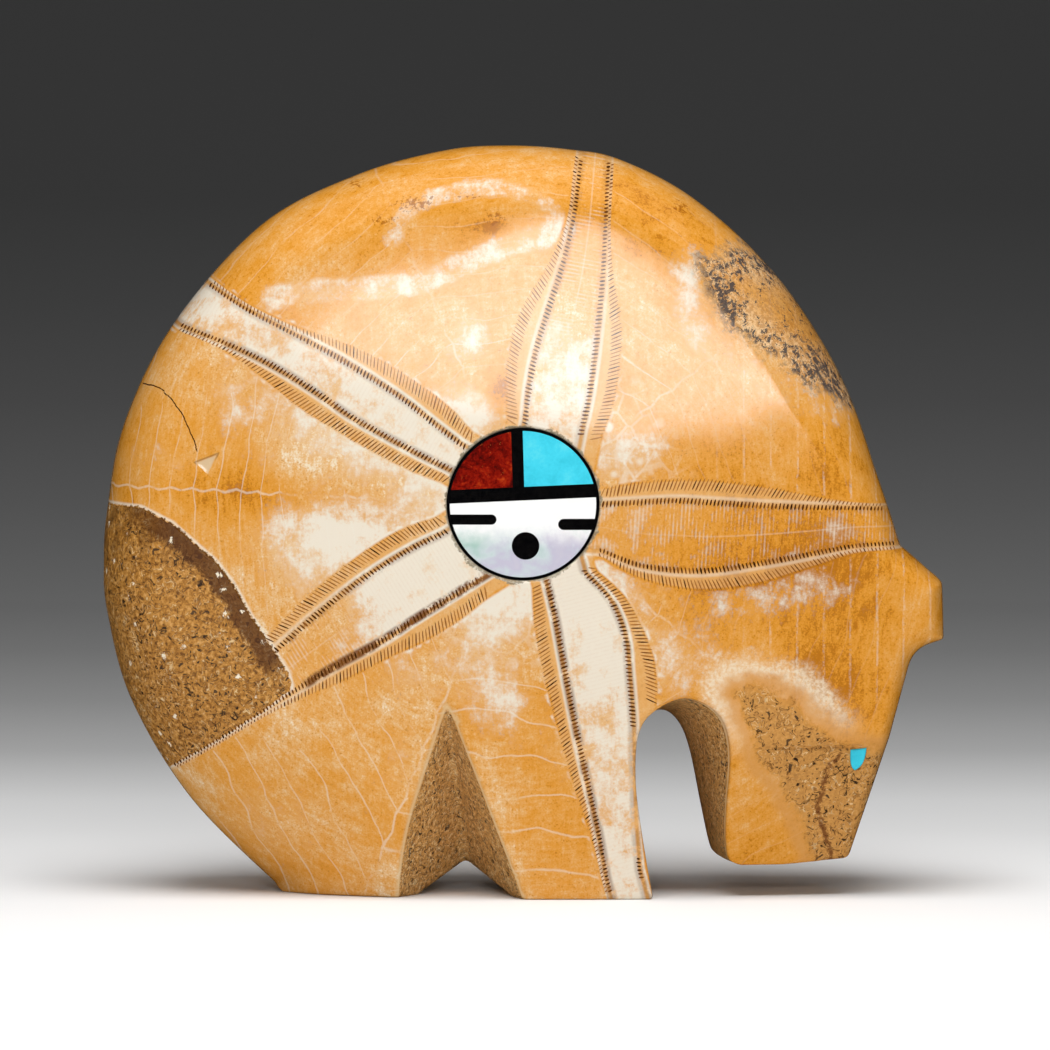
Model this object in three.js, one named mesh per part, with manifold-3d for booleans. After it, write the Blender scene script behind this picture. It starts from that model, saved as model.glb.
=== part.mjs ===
// Standing bear fetish, carved in one piece from a fossil sea biscuit.
// The shell of the urchin keeps its round outline as the bear's back and rump. The head hangs low,
// with an ear ridge, a straight forehead and a cut brow over a thin muzzle. An arched opening parts
// the muzzle from the front leg, and a V groove on each side parts the front leg from the rear leg.
// One side holds a round inlay of stone and shell, a sun face of plain geometric shapes.
//
// Millimetres. +X is towards the head, +Z is up, and the inlaid side faces -Y.
// The origin is on the ground, midway along the length and thickness.

import * as THREE from 'three';
import { ConvexGeometry } from 'three/addons/geometries/ConvexGeometry.js';
import { LoftGeometry } from 'three/addons/geometries/LoftGeometry.js';
import { mergeVertices } from 'three/addons/utils/BufferGeometryUtils.js';
import Module from 'manifold-3d';

const wasm = await Module();
wasm.setup();

// Outline of the carving, as x and z on its middle plane
const LENGTH = 88.6;
const HEIGHT = 78.9;
const HEEL = [ -25.4, 0 ];
const BACK_POINTS = [
  HEEL, [ -35, 9.6 ], [ -41.4, 20.2 ], [ -43.95, 29.6 ], [ -LENGTH / 2, 34.9 ], [ -43.95, 40.2 ],
  [ -42.2, 49.3 ], [ -37, 59.9 ], [ -27.6, 70.5 ], [ -17.5, 75.8 ], [ -8.1, 78.4 ],
  [ -1.4, HEIGHT ], [ 4.9, 78.5 ], [ 10.4, 77.4 ], [ 18.3, 73.2 ], [ 26.9, 65.2 ],
  [ 33.7, 54.6 ], [ 37.5, 44 ], [ 39.8, 36.8 ],
];
const STEPS_PER_SPAN = 3;
const SADDLE_LOSS = 0.12;
const EAR_TOP = { at: [ 44.15 + SADDLE_LOSS, 33 ], round: 1.1 };
const EAR_TIP = { at: [ LENGTH / 2 + SADDLE_LOSS, 26.95 ], round: 0.35 };
const UNDER_EAR = { at: [ 41.1, 25.9 ], round: 3.4 };
const BROW_END = { at: [ 38.45, 16.15 ], round: 12 };
const MUZZLE_TIP = { at: [ 34.3, 3.95 ], round: 0.9 };
const CHIN = { at: [ 27.5, 3.35 ], round: 20 };
const MUZZLE_REAR = { at: [ 19, 3.35 ], round: 0 };
const FRONT_TOE = { at: [ 16.5, 0 ], round: 0 };
const CORNER_STEPS = 4;
const SOLE_STEPS = 12;

// Thickness: the faces are low domes that fall away from a crown under the inlay
const HALF_THICKNESS = 13.5;
const CROWN = [ 0.1, 41.4 ];
const FALL = { along: 0.0016, up: 0.0026, down: 0.0014 };
const RIM = { body: 6.7, head: 2.4, bodyPower: 2, headPower: 3 };
const RIM_CHANGE = { from: 52, to: 36 };
const FACE_RINGS = [ 0, 0.22, 0.42, 0.6, 0.74 ];
const RIM_TURNS = [ 90, 66, 45, 24, 0 ];

// The rear leg thins towards the heel
const HAUNCH = { at: [ -13.1, 0 ], half: 8.9, along: 0.36, up: 0.45, blend: 2 };

// Muzzle plane below the brow: half thickness at the brow's rear end, and its slopes
const MUZZLE = { at: [ 26.4, 15.9 ], half: 11.4, along: -0.16, up: 0.288 };
const BROW_TILT = 0.025;

// V groove between the legs, as [x, half thickness, z] points of its two planes
const GROOVE_TOP = [ -7.85, 12.8, 21.3 ];
const GROOVE_FOOT = [ -5.95, 0.2, 2.99 ];
const GROOVE_REAR = [ -12.95, 8.6, 0.17 ];
const GROOVE_FRONT = [ -0.32, 9.9, 0.2 ];
const NOTCH = { apex: [ -5.98, 3.25 ], slope: 0.64, round: 0.9 };

// Arched opening between the front leg and the muzzle: narrow in the middle, flared at the faces
const ARCH_WAIST = [
  [ 13.7, 0 ], [ 12.5, 7 ], [ 11.85, 12.4 ], [ 12, 16.4 ], [ 13.2, 18.6 ], [ 15.1, 19.1 ],
  [ 16.7, 17.7 ], [ 17.8, 14.8 ], [ 18.9, 9.4 ], [ 19.8, 5.2 ], [ 20.6, 3.3 ], [ 22.6, 2.2 ],
];
const ARCH_MOUTH = [
  [ 13.7, 0 ], [ 12.5, 7 ], [ 11.85, 12.4 ], [ 12.1, 17.2 ], [ 13.7, 19.7 ], [ 17.1, 21.1 ],
  [ 20.6, 19.3 ], [ 21.9, 15.4 ], [ 22, 9.4 ], [ 22.1, 6.5 ], [ 22.3, 3.9 ], [ 23.4, 2.2 ],
];
const ARCH_MOUTH_Y = 11.8;
const ARCH_FLARE_POWER = 1.4;
const ARCH_SECTIONS = [ -1.6, -1, -0.65, -0.3, 0, 0.3, 0.65, 1, 1.6 ];
const ARCH_STEPS_PER_SPAN = 2;

// Saddle between the two ears. It takes the tip of the ridge, so the outline is drawn a little longer.
const SADDLE = { at: [ 48.7, 0, 30.2 ], half: [ 6.2, 4.4, 9 ] };

// Round inlay on the -Y side, measured from its centre: u along X, w up
const INLAY = { radius: 7.85, depth: 2.2, rim: 0.3 };
const CROSSBAR = { w: 1.09, width: 1.4, tilt: 2.5 };
const UPRIGHT = { u: -0.45, width: 1.2, lean: 1.6 };
const REAR_SLIT = { tip: -2.75, w: -1.6, width: 1.05 };
const FRONT_SLIT = { tip: 3.65, w: -2.1, width: 1.15 };
const MOUTH = { u: 0.27, w: -4.33, radius: 1.43 };
const ROUND_STEPS = 64;

// Eyes, set under the brow: a flat top edge and a point below
const EYE = { at: [ 35.15, 15.75 ], width: 1.55, drop: 2.25, lean: -0.35, depth: 1.1, stand: 0.08 };

const GAP = 0.1;
const PAST = 8;

// Colours
const COLOURS = {
  shell: 0xd99a4e, turquoise: 0x41c8dc, jet: 0x0c0b0b, red: 0x7c1f16, pearl: 0xe9ece9,
};

const lerp = ( a, b, t ) => a + ( b - a ) * t;
const lerpPoint = ( a, b, t ) => [ lerp( a[ 0 ], b[ 0 ], t ), lerp( a[ 1 ], b[ 1 ], t ) ];

// A smooth curve through the points, sampled with the same number of steps on every span
function curveThrough( points, steps ) {
  const curve = new THREE.SplineCurve( points.map( ( p ) => new THREE.Vector2( ...p ) ) );
  return curve.getPoints( steps * ( points.length - 1 ) ).map( ( p ) => [ p.x, p.y ] );
}

// The points of a rounded corner between two straight stretches
function roundedCorner( before, corner, after ) {
  if ( corner.round === 0 ) return [ corner.at ];
  const centre = new THREE.Vector2( ...corner.at );
  const back = new THREE.Vector2( ...before ).sub( centre ).normalize();
  const ahead = new THREE.Vector2( ...after ).sub( centre ).normalize();
  const halfAngle = Math.acos( back.dot( ahead ) ) / 2;
  const reach = corner.round / Math.tan( halfAngle );
  const start = centre.clone().addScaledVector( back, reach );
  const end = centre.clone().addScaledVector( ahead, reach );
  const bend = new THREE.QuadraticBezierCurve( start, centre, end );
  return bend.getPoints( CORNER_STEPS ).map( ( p ) => [ p.x, p.y ] );
}

// The outline runs from the heel over the back to the head, and along the ground to the heel.
// The arch and the notch between the legs are filled here and cut out later.
function outlinePoints() {
  const back = curveThrough( BACK_POINTS, STEPS_PER_SPAN );
  const corners = [ EAR_TOP, EAR_TIP, UNDER_EAR, BROW_END, MUZZLE_TIP, CHIN, MUZZLE_REAR, FRONT_TOE ];
  const places = [ BACK_POINTS.at( -1 ), ...corners.map( ( corner ) => corner.at ), HEEL ];
  const head = corners.flatMap( ( corner, i ) =>
    roundedCorner( places[ i ], corner, places[ i + 2 ] ) );
  const soles = [];
  for ( let i = 1; i < SOLE_STEPS; i ++ ) {
    soles.push( lerpPoint( FRONT_TOE.at, HEEL, i / SOLE_STEPS ) );
  }
  return { points: [ ...back, ...head, ...soles ], roundedCount: back.length + 4 * ( CORNER_STEPS + 1 ) };
}

const OUTLINE = outlinePoints();

// The rim is wide and round on the back, and narrow and squarer on the head
function rimAt( x, z ) {
  const onHead = x < 0 ? 0 : THREE.MathUtils.smoothstep( - z, - RIM_CHANGE.from, - RIM_CHANGE.to );
  return {
    width: lerp( RIM.body, RIM.head, onHead ),
    power: lerp( RIM.bodyPower, RIM.headPower, onHead ),
  };
}

// Distance from a point to the rounded stretch of the outline, and the rim's size there
function nearestRim( x, z ) {
  let best = Infinity;
  let place = null;
  for ( let i = 0; i + 1 < OUTLINE.roundedCount; i ++ ) {
    const [ ax, az ] = OUTLINE.points[ i ];
    const [ bx, bz ] = OUTLINE.points[ i + 1 ];
    const along = ( ( x - ax ) * ( bx - ax ) + ( z - az ) * ( bz - az ) ) /
      ( ( bx - ax ) ** 2 + ( bz - az ) ** 2 );
    const t = THREE.MathUtils.clamp( along, 0, 1 );
    const spot = [ lerp( ax, bx, t ), lerp( az, bz, t ) ];
    const distance = Math.hypot( x - spot[ 0 ], z - spot[ 1 ] );
    if ( distance < best ) {
      best = distance;
      place = spot;
    }
  }
  return { distance: best, ...rimAt( ...place ) };
}

// Smaller of two values, with a rounded change from one to the other
function softMin( a, b, blend ) {
  const h = Math.max( blend - Math.abs( a - b ), 0 ) / blend;
  return Math.min( a, b ) - h * h * blend / 4;
}

function domeAt( x, z ) {
  const dx = x - CROWN[ 0 ];
  const dz = z - CROWN[ 1 ];
  return HALF_THICKNESS - FALL.along * dx * dx - ( dz > 0 ? FALL.up : FALL.down ) * dz * dz;
}

// Half thickness of the blank at a point of the middle plane
function halfThickness( x, z ) {
  const haunch = HAUNCH.half + HAUNCH.along * ( x - HAUNCH.at[ 0 ] ) + HAUNCH.up * ( z - HAUNCH.at[ 1 ] );
  const face = softMin( domeAt( x, z ), haunch, HAUNCH.blend );
  const rim = nearestRim( x, z );
  const inward = Math.min( rim.distance / rim.width, 1 );
  return face * ( 1 - ( 1 - inward ) ** rim.power ) ** ( 1 / rim.power );
}

const muzzleHalf = ( x, z ) =>
  MUZZLE.half + MUZZLE.along * ( x - MUZZLE.at[ 0 ] ) + MUZZLE.up * ( z - MUZZLE.at[ 1 ] );

// A closed three.js geometry as a solid, with the shared vertices merged and empty faces dropped
function solidOf( geometry ) {
  const bare = new THREE.BufferGeometry().copy( geometry );
  bare.deleteAttribute( 'normal' );
  bare.deleteAttribute( 'uv' );
  const merged = mergeVertices( bare, 1e-5 );
  const index = merged.index.array;
  const triVerts = [];
  for ( let i = 0; i < index.length; i += 3 ) {
    const [ a, b, c ] = [ index[ i ], index[ i + 1 ], index[ i + 2 ] ];
    if ( a !== b && b !== c && c !== a ) triVerts.push( a, b, c );
  }
  return new wasm.Manifold( new wasm.Mesh( {
    numProp: 3,
    vertProperties: new Float32Array( merged.attributes.position.array ),
    triVerts: new Uint32Array( triVerts ),
  } ) );
}

function geometryOf( solid ) {
  const mesh = solid.getMesh();
  const geometry = new THREE.BufferGeometry();
  geometry.setAttribute( 'position', new THREE.BufferAttribute( mesh.vertProperties, 3 ) );
  geometry.setIndex( new THREE.BufferAttribute( mesh.triVerts, 1 ) );
  geometry.computeVertexNormals();
  return geometry;
}

// The same shape on the other side of the middle plane
function mirrored( geometry ) {
  const copy = new THREE.BufferGeometry().copy( geometry );
  copy.scale( 1, -1, 1 );
  const index = copy.index ? copy.index.array : [ ...Array( copy.attributes.position.count ).keys() ];
  const flipped = [];
  for ( let i = 0; i < index.length; i += 3 ) flipped.push( index[ i ], index[ i + 2 ], index[ i + 1 ] );
  copy.setIndex( flipped );
  return copy;
}

// An outline in X and Z, made solid between two places along Y
function prism( shape, yFrom, yTo, curveSegments = 12 ) {
  const geometry = new THREE.ExtrudeGeometry( shape,
    { depth: yTo - yFrom, bevelEnabled: false, curveSegments } );
  geometry.rotateX( Math.PI / 2 );
  geometry.translate( 0, yTo, 0 );
  return geometry;
}

function shapeOf( points ) {
  return new THREE.Shape( points.map( ( p ) => new THREE.Vector2( ...p ) ) );
}

// The blank: rings of points from the crown of one face, over the edge, to the crown of the other
function blankGeometry() {
  const ring = ( inward, side ) => OUTLINE.points.map( ( [ ox, oz ] ) => {
    const x = lerp( CROWN[ 0 ], ox, 1 - inward( ox, oz ) );
    const z = lerp( CROWN[ 1 ], oz, 1 - inward( ox, oz ) );
    return new THREE.Vector3( x, side * halfThickness( x, z ), z );
  } );
  const reach = ( ox, oz ) => Math.hypot( ox - CROWN[ 0 ], oz - CROWN[ 1 ] );
  const faceRing = ( scale, side ) => ring( () => 1 - scale, side );
  const rimRing = ( turn, side ) => ring( ( ox, oz ) =>
    rimAt( ox, oz ).width * ( 1 - Math.cos( THREE.MathUtils.degToRad( turn ) ) ) / reach( ox, oz ), side );
  const half = ( side ) => [
    ...FACE_RINGS.map( ( scale ) => faceRing( scale, side ) ),
    ...RIM_TURNS.map( ( turn ) => rimRing( turn, side ) ),
  ];
  const middle = OUTLINE.points.map( ( [ x, z ] ) => new THREE.Vector3( x, 0, z ) );
  return new LoftGeometry( [ ...half( -1 ), middle, ...half( 1 ).reverse() ] );
}

// One side's V groove: the wedge in front of two planes that meet in the valley
function grooveGeometry() {
  const toVector = ( [ x, half, z ] ) => new THREE.Vector3( x, - half, z );
  const top = toVector( GROOVE_TOP );
  const foot = toVector( GROOVE_FOOT );
  const valley = top.clone().sub( foot );
  const outside = - HALF_THICKNESS - PAST;
  const below = - PAST / 2;
  const valleyOut = foot.clone().addScaledVector( valley, ( outside - foot.y ) / valley.y );
  const valleyLow = foot.clone().addScaledVector( valley, ( below - foot.z ) / valley.z );
  const lowOutside = ( edge ) => {
    const plane = new THREE.Plane().setFromCoplanarPoints( top, foot, toVector( edge ) );
    const x = - ( plane.constant + plane.normal.y * outside + plane.normal.z * below ) / plane.normal.x;
    return new THREE.Vector3( x, outside, below );
  };
  return new ConvexGeometry( [ valleyOut, valleyLow, lowOutside( GROOVE_REAR ), lowOutside( GROOVE_FRONT ) ] );
}

// The low notch that runs through under the grooves
function notchGeometry() {
  const [ ax, az ] = NOTCH.apex;
  const drop = az + PAST / 4;
  const shape = new THREE.Shape();
  shape.moveTo( ax - drop / NOTCH.slope, az - drop );
  shape.lineTo( ax + drop / NOTCH.slope, az - drop );
  shape.lineTo( ax + NOTCH.round, az - NOTCH.round * NOTCH.slope );
  shape.quadraticCurveTo( ax, az, ax - NOTCH.round, az - NOTCH.round * NOTCH.slope );
  return prism( shape, - HALF_THICKNESS - PAST, HALF_THICKNESS + PAST, 4 );
}

// The arched opening, lofted from its narrow waist to its flared mouths
function archGeometry() {
  const sections = ARCH_SECTIONS.map( ( place ) => {
    const flare = Math.abs( place ) ** ARCH_FLARE_POWER;
    const control = ARCH_WAIST.map( ( point, i ) => lerpPoint( point, ARCH_MOUTH[ i ], flare ) );
    const walls = curveThrough( control, ARCH_STEPS_PER_SPAN );
    const [ endX ] = walls.at( -1 );
    const ring = [ [ ARCH_WAIST[ 0 ][ 0 ], - PAST / 2 ], ...walls, [ endX, - PAST / 2 ] ];
    return ring.map( ( [ x, z ] ) => new THREE.Vector3( x, place * ARCH_MOUTH_Y, z ) );
  } );
  return new LoftGeometry( sections, { capStart: true, capEnd: true } );
}

// One side's muzzle cut: everything outside the muzzle plane and below the brow
function muzzleGeometry() {
  const browAt = ( x ) => MUZZLE.at[ 1 ] + BROW_TILT * ( x - MUZZLE.at[ 0 ] );
  const [ rear, front ] = [ ARCH_WAIST[ 5 ][ 0 ] + 1, LENGTH / 2 + PAST ];
  const corners = [ [ rear, - PAST / 2 ], [ front, - PAST / 2 ], [ front, browAt( front ) ], [ rear, browAt( rear ) ] ];
  const outer = - HALF_THICKNESS - PAST;
  return new LoftGeometry( [
    corners.map( ( [ x, z ] ) => new THREE.Vector3( x, - muzzleHalf( x, z ), z ) ),
    corners.map( ( [ x, z ] ) => new THREE.Vector3( x, outer, z ) ),
  ], { capStart: true, capEnd: true } );
}

function saddleGeometry() {
  const geometry = new THREE.SphereGeometry( 1, 20, 12 );
  geometry.scale( ...SADDLE.half );
  geometry.translate( ...SADDLE.at );
  return geometry;
}

// Flat outline of an eye, grown by a margin
function eyeShape( margin ) {
  const [ x, z ] = EYE.at;
  const half = EYE.width / 2 + margin;
  const top = z + margin;
  const low = z - EYE.drop - margin;
  const shape = new THREE.Shape();
  shape.moveTo( x - half, top );
  shape.quadraticCurveTo( x - half - 0.3, lerp( top, low, 0.75 ), x + EYE.lean, low );
  shape.quadraticCurveTo( x + half * 0.75, lerp( top, low, 0.7 ), x + half, top );
  return shape;
}

// An eye's middle depth, measured on the muzzle plane at its centre
const EYE_HALF = muzzleHalf( EYE.at[ 0 ], EYE.at[ 1 ] - EYE.drop / 2 );

function eyeGeometry() {
  return prism( eyeShape( 0 ), - EYE_HALF - EYE.stand, - EYE_HALF + EYE.depth, 6 );
}

function eyeSocketGeometry() {
  return prism( eyeShape( GAP ), - EYE_HALF - PAST / 4, - EYE_HALF + EYE.depth + GAP, 6 );
}

// Inlay pieces: flat outlines in u and w, extruded from the recess floor to the crown
const INLAY_FLOOR = - HALF_THICKNESS + INLAY.depth;
const STONE_FLOOR = INLAY_FLOOR - GAP;

function inlayPrism( shape, yFrom = - HALF_THICKNESS, yTo = STONE_FLOOR ) {
  const geometry = prism( shape, yFrom, yTo, ROUND_STEPS / 2 );
  geometry.translate( CROWN[ 0 ], 0, CROWN[ 1 ] );
  return geometry;
}

function discShape( radius, u = 0, w = 0 ) {
  const shape = new THREE.Shape();
  shape.absarc( u, w, radius, 0, 2 * Math.PI );
  return shape;
}

// A straight band across the inlay, grown by a margin
function bandShape( u, w, degrees, width, from, to, margin ) {
  const half = width / 2 + margin;
  const corners = [ [ from, - half ], [ to, - half ], [ to, half ], [ from, half ] ];
  const turn = THREE.MathUtils.degToRad( degrees );
  return shapeOf( corners.map( ( [ a, b ] ) => [
    u + a * Math.cos( turn ) - b * Math.sin( turn ),
    w + a * Math.sin( turn ) + b * Math.cos( turn ),
  ] ) );
}

// A slit that runs from its round tip out past the rim
function slitShape( slit, margin ) {
  const outward = Math.sign( slit.tip );
  const half = slit.width / 2 + margin;
  const centre = slit.tip + outward * slit.width / 2;
  const far = outward * ( INLAY.radius + 1 );
  const shape = new THREE.Shape();
  shape.moveTo( far, slit.w - outward * half );
  shape.lineTo( far, slit.w + outward * half );
  shape.absarc( centre, slit.w, half, outward * Math.PI / 2, - outward * Math.PI / 2, false );
  return shape;
}

const LONG = 2 * INLAY.radius;
const crossbar = ( margin ) =>
  bandShape( 0, CROSSBAR.w, CROSSBAR.tilt, CROSSBAR.width, - LONG, LONG, margin );
const upright = ( margin ) =>
  bandShape( UPRIGHT.u, CROSSBAR.w, 90 + UPRIGHT.lean, UPRIGHT.width, 0, LONG, margin );
const beside = ( sideways ) => bandShape( UPRIGHT.u, CROSSBAR.w, 90 + UPRIGHT.lean,
  LONG, 0, LONG, 0 ).getPoints().map( ( p ) => [ p.x + sideways * LONG / 2, p.y ] );

function inlaySolids() {
  const cut = ( shape ) => solidOf( inlayPrism( shape, - HALF_THICKNESS - 1, INLAY_FLOOR ) );
  const disc = solidOf( inlayPrism( discShape( INLAY.radius - INLAY.rim - GAP ) ) );
  const ringOuter = solidOf( inlayPrism( discShape( INLAY.radius ) ) );
  const overBar = disc.subtract( cut( crossbar( GAP ) ) ).subtract( cut( upright( GAP ) ) );
  const below = cut( bandShape( 0, CROSSBAR.w - LONG / 2, CROSSBAR.tilt, LONG, - LONG, LONG, 0 ) );
  const onlyBar = disc.intersect( cut( crossbar( 0 ) ) );
  const face = disc.intersect( below ).subtract( cut( crossbar( GAP ) ) )
    .subtract( cut( slitShape( REAR_SLIT, GAP ) ) )
    .subtract( cut( slitShape( FRONT_SLIT, GAP ) ) )
    .subtract( cut( discShape( MOUTH.radius + GAP, MOUTH.u, MOUTH.w ) ) );
  return {
    inlay_rim: [ ringOuter.subtract( cut( discShape( INLAY.radius - INLAY.rim ) ) ), 'jet' ],
    inlay_red_stone: [ overBar.intersect( cut( shapeOf( beside( -1 ) ) ) ), 'red' ],
    inlay_turquoise_stone: [ overBar.intersect( cut( shapeOf( beside( 1 ) ) ) ), 'turquoise' ],
    inlay_upright_bar: [ disc.intersect( cut( upright( 0 ) ) ).subtract( cut( crossbar( GAP ) ) ), 'jet' ],
    inlay_crossbar: [ onlyBar, 'jet' ],
    inlay_shell_face: [ face, 'pearl' ],
    inlay_rear_slit: [ disc.intersect( cut( slitShape( REAR_SLIT, 0 ) ) ), 'jet' ],
    inlay_front_slit: [ disc.intersect( cut( slitShape( FRONT_SLIT, 0 ) ) ), 'jet' ],
    inlay_mouth: [ solidOf( inlayPrism( discShape( MOUTH.radius, MOUTH.u, MOUTH.w ) ) ), 'jet' ],
  };
}

function bodySolid() {
  const recess = inlayPrism( discShape( INLAY.radius + GAP ), - HALF_THICKNESS - PAST, INLAY_FLOOR );
  const bothSides = ( geometry ) => [ geometry, mirrored( geometry ) ];
  const cuts = [
    archGeometry(), notchGeometry(), recess, saddleGeometry(),
    ...bothSides( grooveGeometry() ), ...bothSides( muzzleGeometry() ), ...bothSides( eyeSocketGeometry() ),
  ];
  return cuts.reduce( ( solid, geometry ) => solid.subtract( solidOf( geometry ) ), solidOf( blankGeometry() ) );
}

function meshOf( name, geometry, colour, roughness = 0.25 ) {
  const material = new THREE.MeshStandardMaterial( { color: COLOURS[ colour ], roughness, metalness: 0 } );
  const mesh = new THREE.Mesh( geometry, material );
  mesh.name = name;
  return mesh;
}

const bear = new THREE.Group();
bear.add( meshOf( 'bear_body', geometryOf( bodySolid() ), 'shell' ) );
bear.add( meshOf( 'right_eye', eyeGeometry(), 'turquoise' ) );
bear.add( meshOf( 'left_eye', mirrored( eyeGeometry() ), 'turquoise' ) );
for ( const [ name, [ solid, colour ] ] of Object.entries( inlaySolids() ) ) {
  bear.add( meshOf( name, geometryOf( solid ), colour ) );
}

export default bear;
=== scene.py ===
"""Standing bear fetish carved from a fossil sea biscuit, with a round inlay of stone and shell.

The shell keeps its round outline as the bear's back. Millimetres are used throughout and become
metres when a mesh is made. +X is towards the head, +Z is up, and the inlaid side faces -Y.
"""
import math

import bpy
import numpy as np
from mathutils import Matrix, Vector
from mathutils.geometry import delaunay_2d_cdt


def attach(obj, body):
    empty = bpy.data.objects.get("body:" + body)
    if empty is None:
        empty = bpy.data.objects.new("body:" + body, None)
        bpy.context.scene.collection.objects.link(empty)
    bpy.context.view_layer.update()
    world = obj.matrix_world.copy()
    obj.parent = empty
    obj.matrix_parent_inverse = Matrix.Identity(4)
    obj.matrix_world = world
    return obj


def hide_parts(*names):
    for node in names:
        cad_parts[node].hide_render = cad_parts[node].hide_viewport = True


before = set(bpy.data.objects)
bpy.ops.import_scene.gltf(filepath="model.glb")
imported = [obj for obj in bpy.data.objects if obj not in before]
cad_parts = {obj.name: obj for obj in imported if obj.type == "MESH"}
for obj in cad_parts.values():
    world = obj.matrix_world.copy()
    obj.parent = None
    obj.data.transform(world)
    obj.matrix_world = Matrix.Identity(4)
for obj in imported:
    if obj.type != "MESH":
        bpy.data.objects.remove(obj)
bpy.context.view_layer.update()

MM = 0.001

# Outline on the middle plane, as x and z, with the radius that rounds each corner
HEEL = (-25.4, 0.0)
BACK = [HEEL, (-35, 9.6), (-41.4, 20.2), (-43.95, 29.6), (-44.3, 34.9), (-43.95, 40.2), (-42.2, 49.3),
        (-37, 59.9), (-27.6, 70.5), (-17.5, 75.8), (-8.1, 78.4), (-1.4, 78.9), (4.9, 78.5),
        (10.4, 77.4), (18.3, 73.2), (26.9, 65.2), (33.7, 54.6), (37.5, 44), (39.8, 36.8)]
EAR_TOP = (44.2, 33.0, 1.1)
EAR_TIP = (44.34, 26.95, 0.45)
UNDER_EAR = (41.1, 25.9, 3.4)
BROW_END = (38.45, 16.15, 12.0)
MUZZLE_TIP = (34.3, 3.95, 0.9)
CHIN = (27.5, 3.35, 20.0)
TOE = (13.7, 0.0, 0.4)
NOTCH = {"apex": (-5.98, 3.25), "slope": 0.64, "round": 0.9, "foot_round": 0.5}
HEEL_ROUND = 0.6
# Heights above which the curves of the arch and the back are kept, past the rounded corners below them
CURVES_FROM = {"arch": 1.2, "back": 1.0}
ARCH_WAIST = [(13.7, 0), (12.5, 7), (11.85, 12.4), (12, 16.4), (13.2, 18.6), (15.1, 19.1),
              (16.7, 17.7), (17.8, 14.8), (18.9, 9.4), (19.8, 5.2), (20.4, 4.0), (21.6, 3.36)]
ARCH_MOUTH = [(13.7, 0), (12.5, 7), (11.85, 12.4), (12.1, 17.2), (13.7, 19.7), (17.1, 21.1),
              (20.6, 19.3), (21.9, 15.4), (22, 9.4), (22.15, 5.6), (22.6, 3.9), (23.8, 3.36)]
ARCH_MOUTH_Y = 11.8
ARCH_FLARE = 1.4

# Thickness: low domes that fall away from a crown under the inlay
HALF = 13.5
CROWN = (0.1, 41.4)
FALL = {"along": 0.0016, "up": 0.0026, "down": 0.0014}
HAUNCH = {"at": (-13.1, 0.0), "half": 8.9, "along": 0.36, "up": 0.45, "blend": 2.0}
MUZZLE = {"at": (26.4, 15.9), "half": 11.4, "along": -0.16, "up": 0.288, "rear": 17.0, "blend": 0.6}
BROW = {"tilt": 0.025, "from": 24.3, "to": 38.4, "width": 0.22, "depth": 0.28, "soft": 0.12}
# Length along x over which the muzzle plane and the brow cut begin
RUN_IN = 3.0
GROOVE_TOP = (-7.85, 12.8, 21.3)
GROOVE_FOOT = (-5.95, 0.2, 2.99)
GROOVE_REAR = (-12.95, 8.6, 0.17)
GROOVE_FRONT = (-0.32, 9.9, 0.2)
GROOVE_SOFT = {"valley": 1.5, "mouth": 0.5}
# Height above which there is no groove
GROOVE_LIMIT = 24.0
EDGE_ROUND = 0.4

# Slight waves left by the polishing: height, then radians per millimetre along x and z, and start
WAVE_HEIGHT = 0.012
WAVES = ((0.46, 0.21, 1.3), (-0.27, 0.38, 0.4), (0.61, -0.44, 2.2), (0.16, 0.58, 4.0))

# Rim of the faces: its width, and on the head, at stations of z, its width and the share of the
# thickness that is a flat wall
BACK_RIM = 6.7
HEAD_RIM = [(3.0, 0.8, 0.93), (8.0, 1.1, 0.75), (16.0, 1.3, 0.55), (26.0, 2.0, 0.5), (36.0, 2.6, 0.4),
            (54.0, BACK_RIM, 0.0)]

# Chip at the end of the crack in the rump, a triangle, and how deep
CHIP = [(-34.1, 45.7), (-31.5, 46.7), (-32.6, 44.3)]
CHIP_DEPTH = 0.07

# Saddle between the two ears, the x beyond which it is cut and the crease under the ear is rounded
# off, and the distances from the outline between which that is done
SADDLE = {"at": (48.7, 0.0, 30.2), "half": (6.2, 4.4, 9.0), "blend": 0.5}
EAR_REGION = 30.0
CREASE = {"start": 0.25, "full": 0.8, "end": 4.0}

# Round inlay: u along X and w up from its centre
INLAY = {"radius": 7.9, "rim": 0.3, "depth": 2.2, "recess": 7.93}
CROSSBAR = {"w": 1.09, "width": 1.4, "tilt": 2.5}
UPRIGHT = {"u": -0.45, "width": 1.2, "lean": 1.6}
REAR_SLIT = {"tip": -2.75, "w": -1.6, "width": 1.05}
FRONT_SLIT = {"tip": 3.65, "w": -2.1, "width": 1.15}
MOUTH = {"at": (0.27, -4.33), "radius": 1.43}
EYE = {"at": (35.15, 15.75), "width": 1.55, "drop": 2.25, "lean": -0.35, "depth": 1.1, "slant": 0.18}
EYE_MARGIN = {"stone": 0.06, "socket": 0.08, "mouth": 0.1, "outside": 0.16}
STONE_BEVEL = {"inlay": 0.025, "eye": 0.12}
CLEARANCE = 0.02

# Mesh density: space between points along the outline, how many more of them there are per
# millimetre for each radian per millimetre of bend, and the most bend that counts. Then distances
# of the rows beside the outline, space between the points of the lattice inside, and rows of the wall
COLUMN_STEP = 0.5
BEND_POINTS = 2.4
MOST_BEND = 3
RIM_ROWS = [0.02, 0.07, 0.16, 0.28, 0.42, 0.62, 0.9, 1.25, 1.65, 2.1, 2.6]
LATTICE = 0.62
WALL_ROWS = 20
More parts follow.
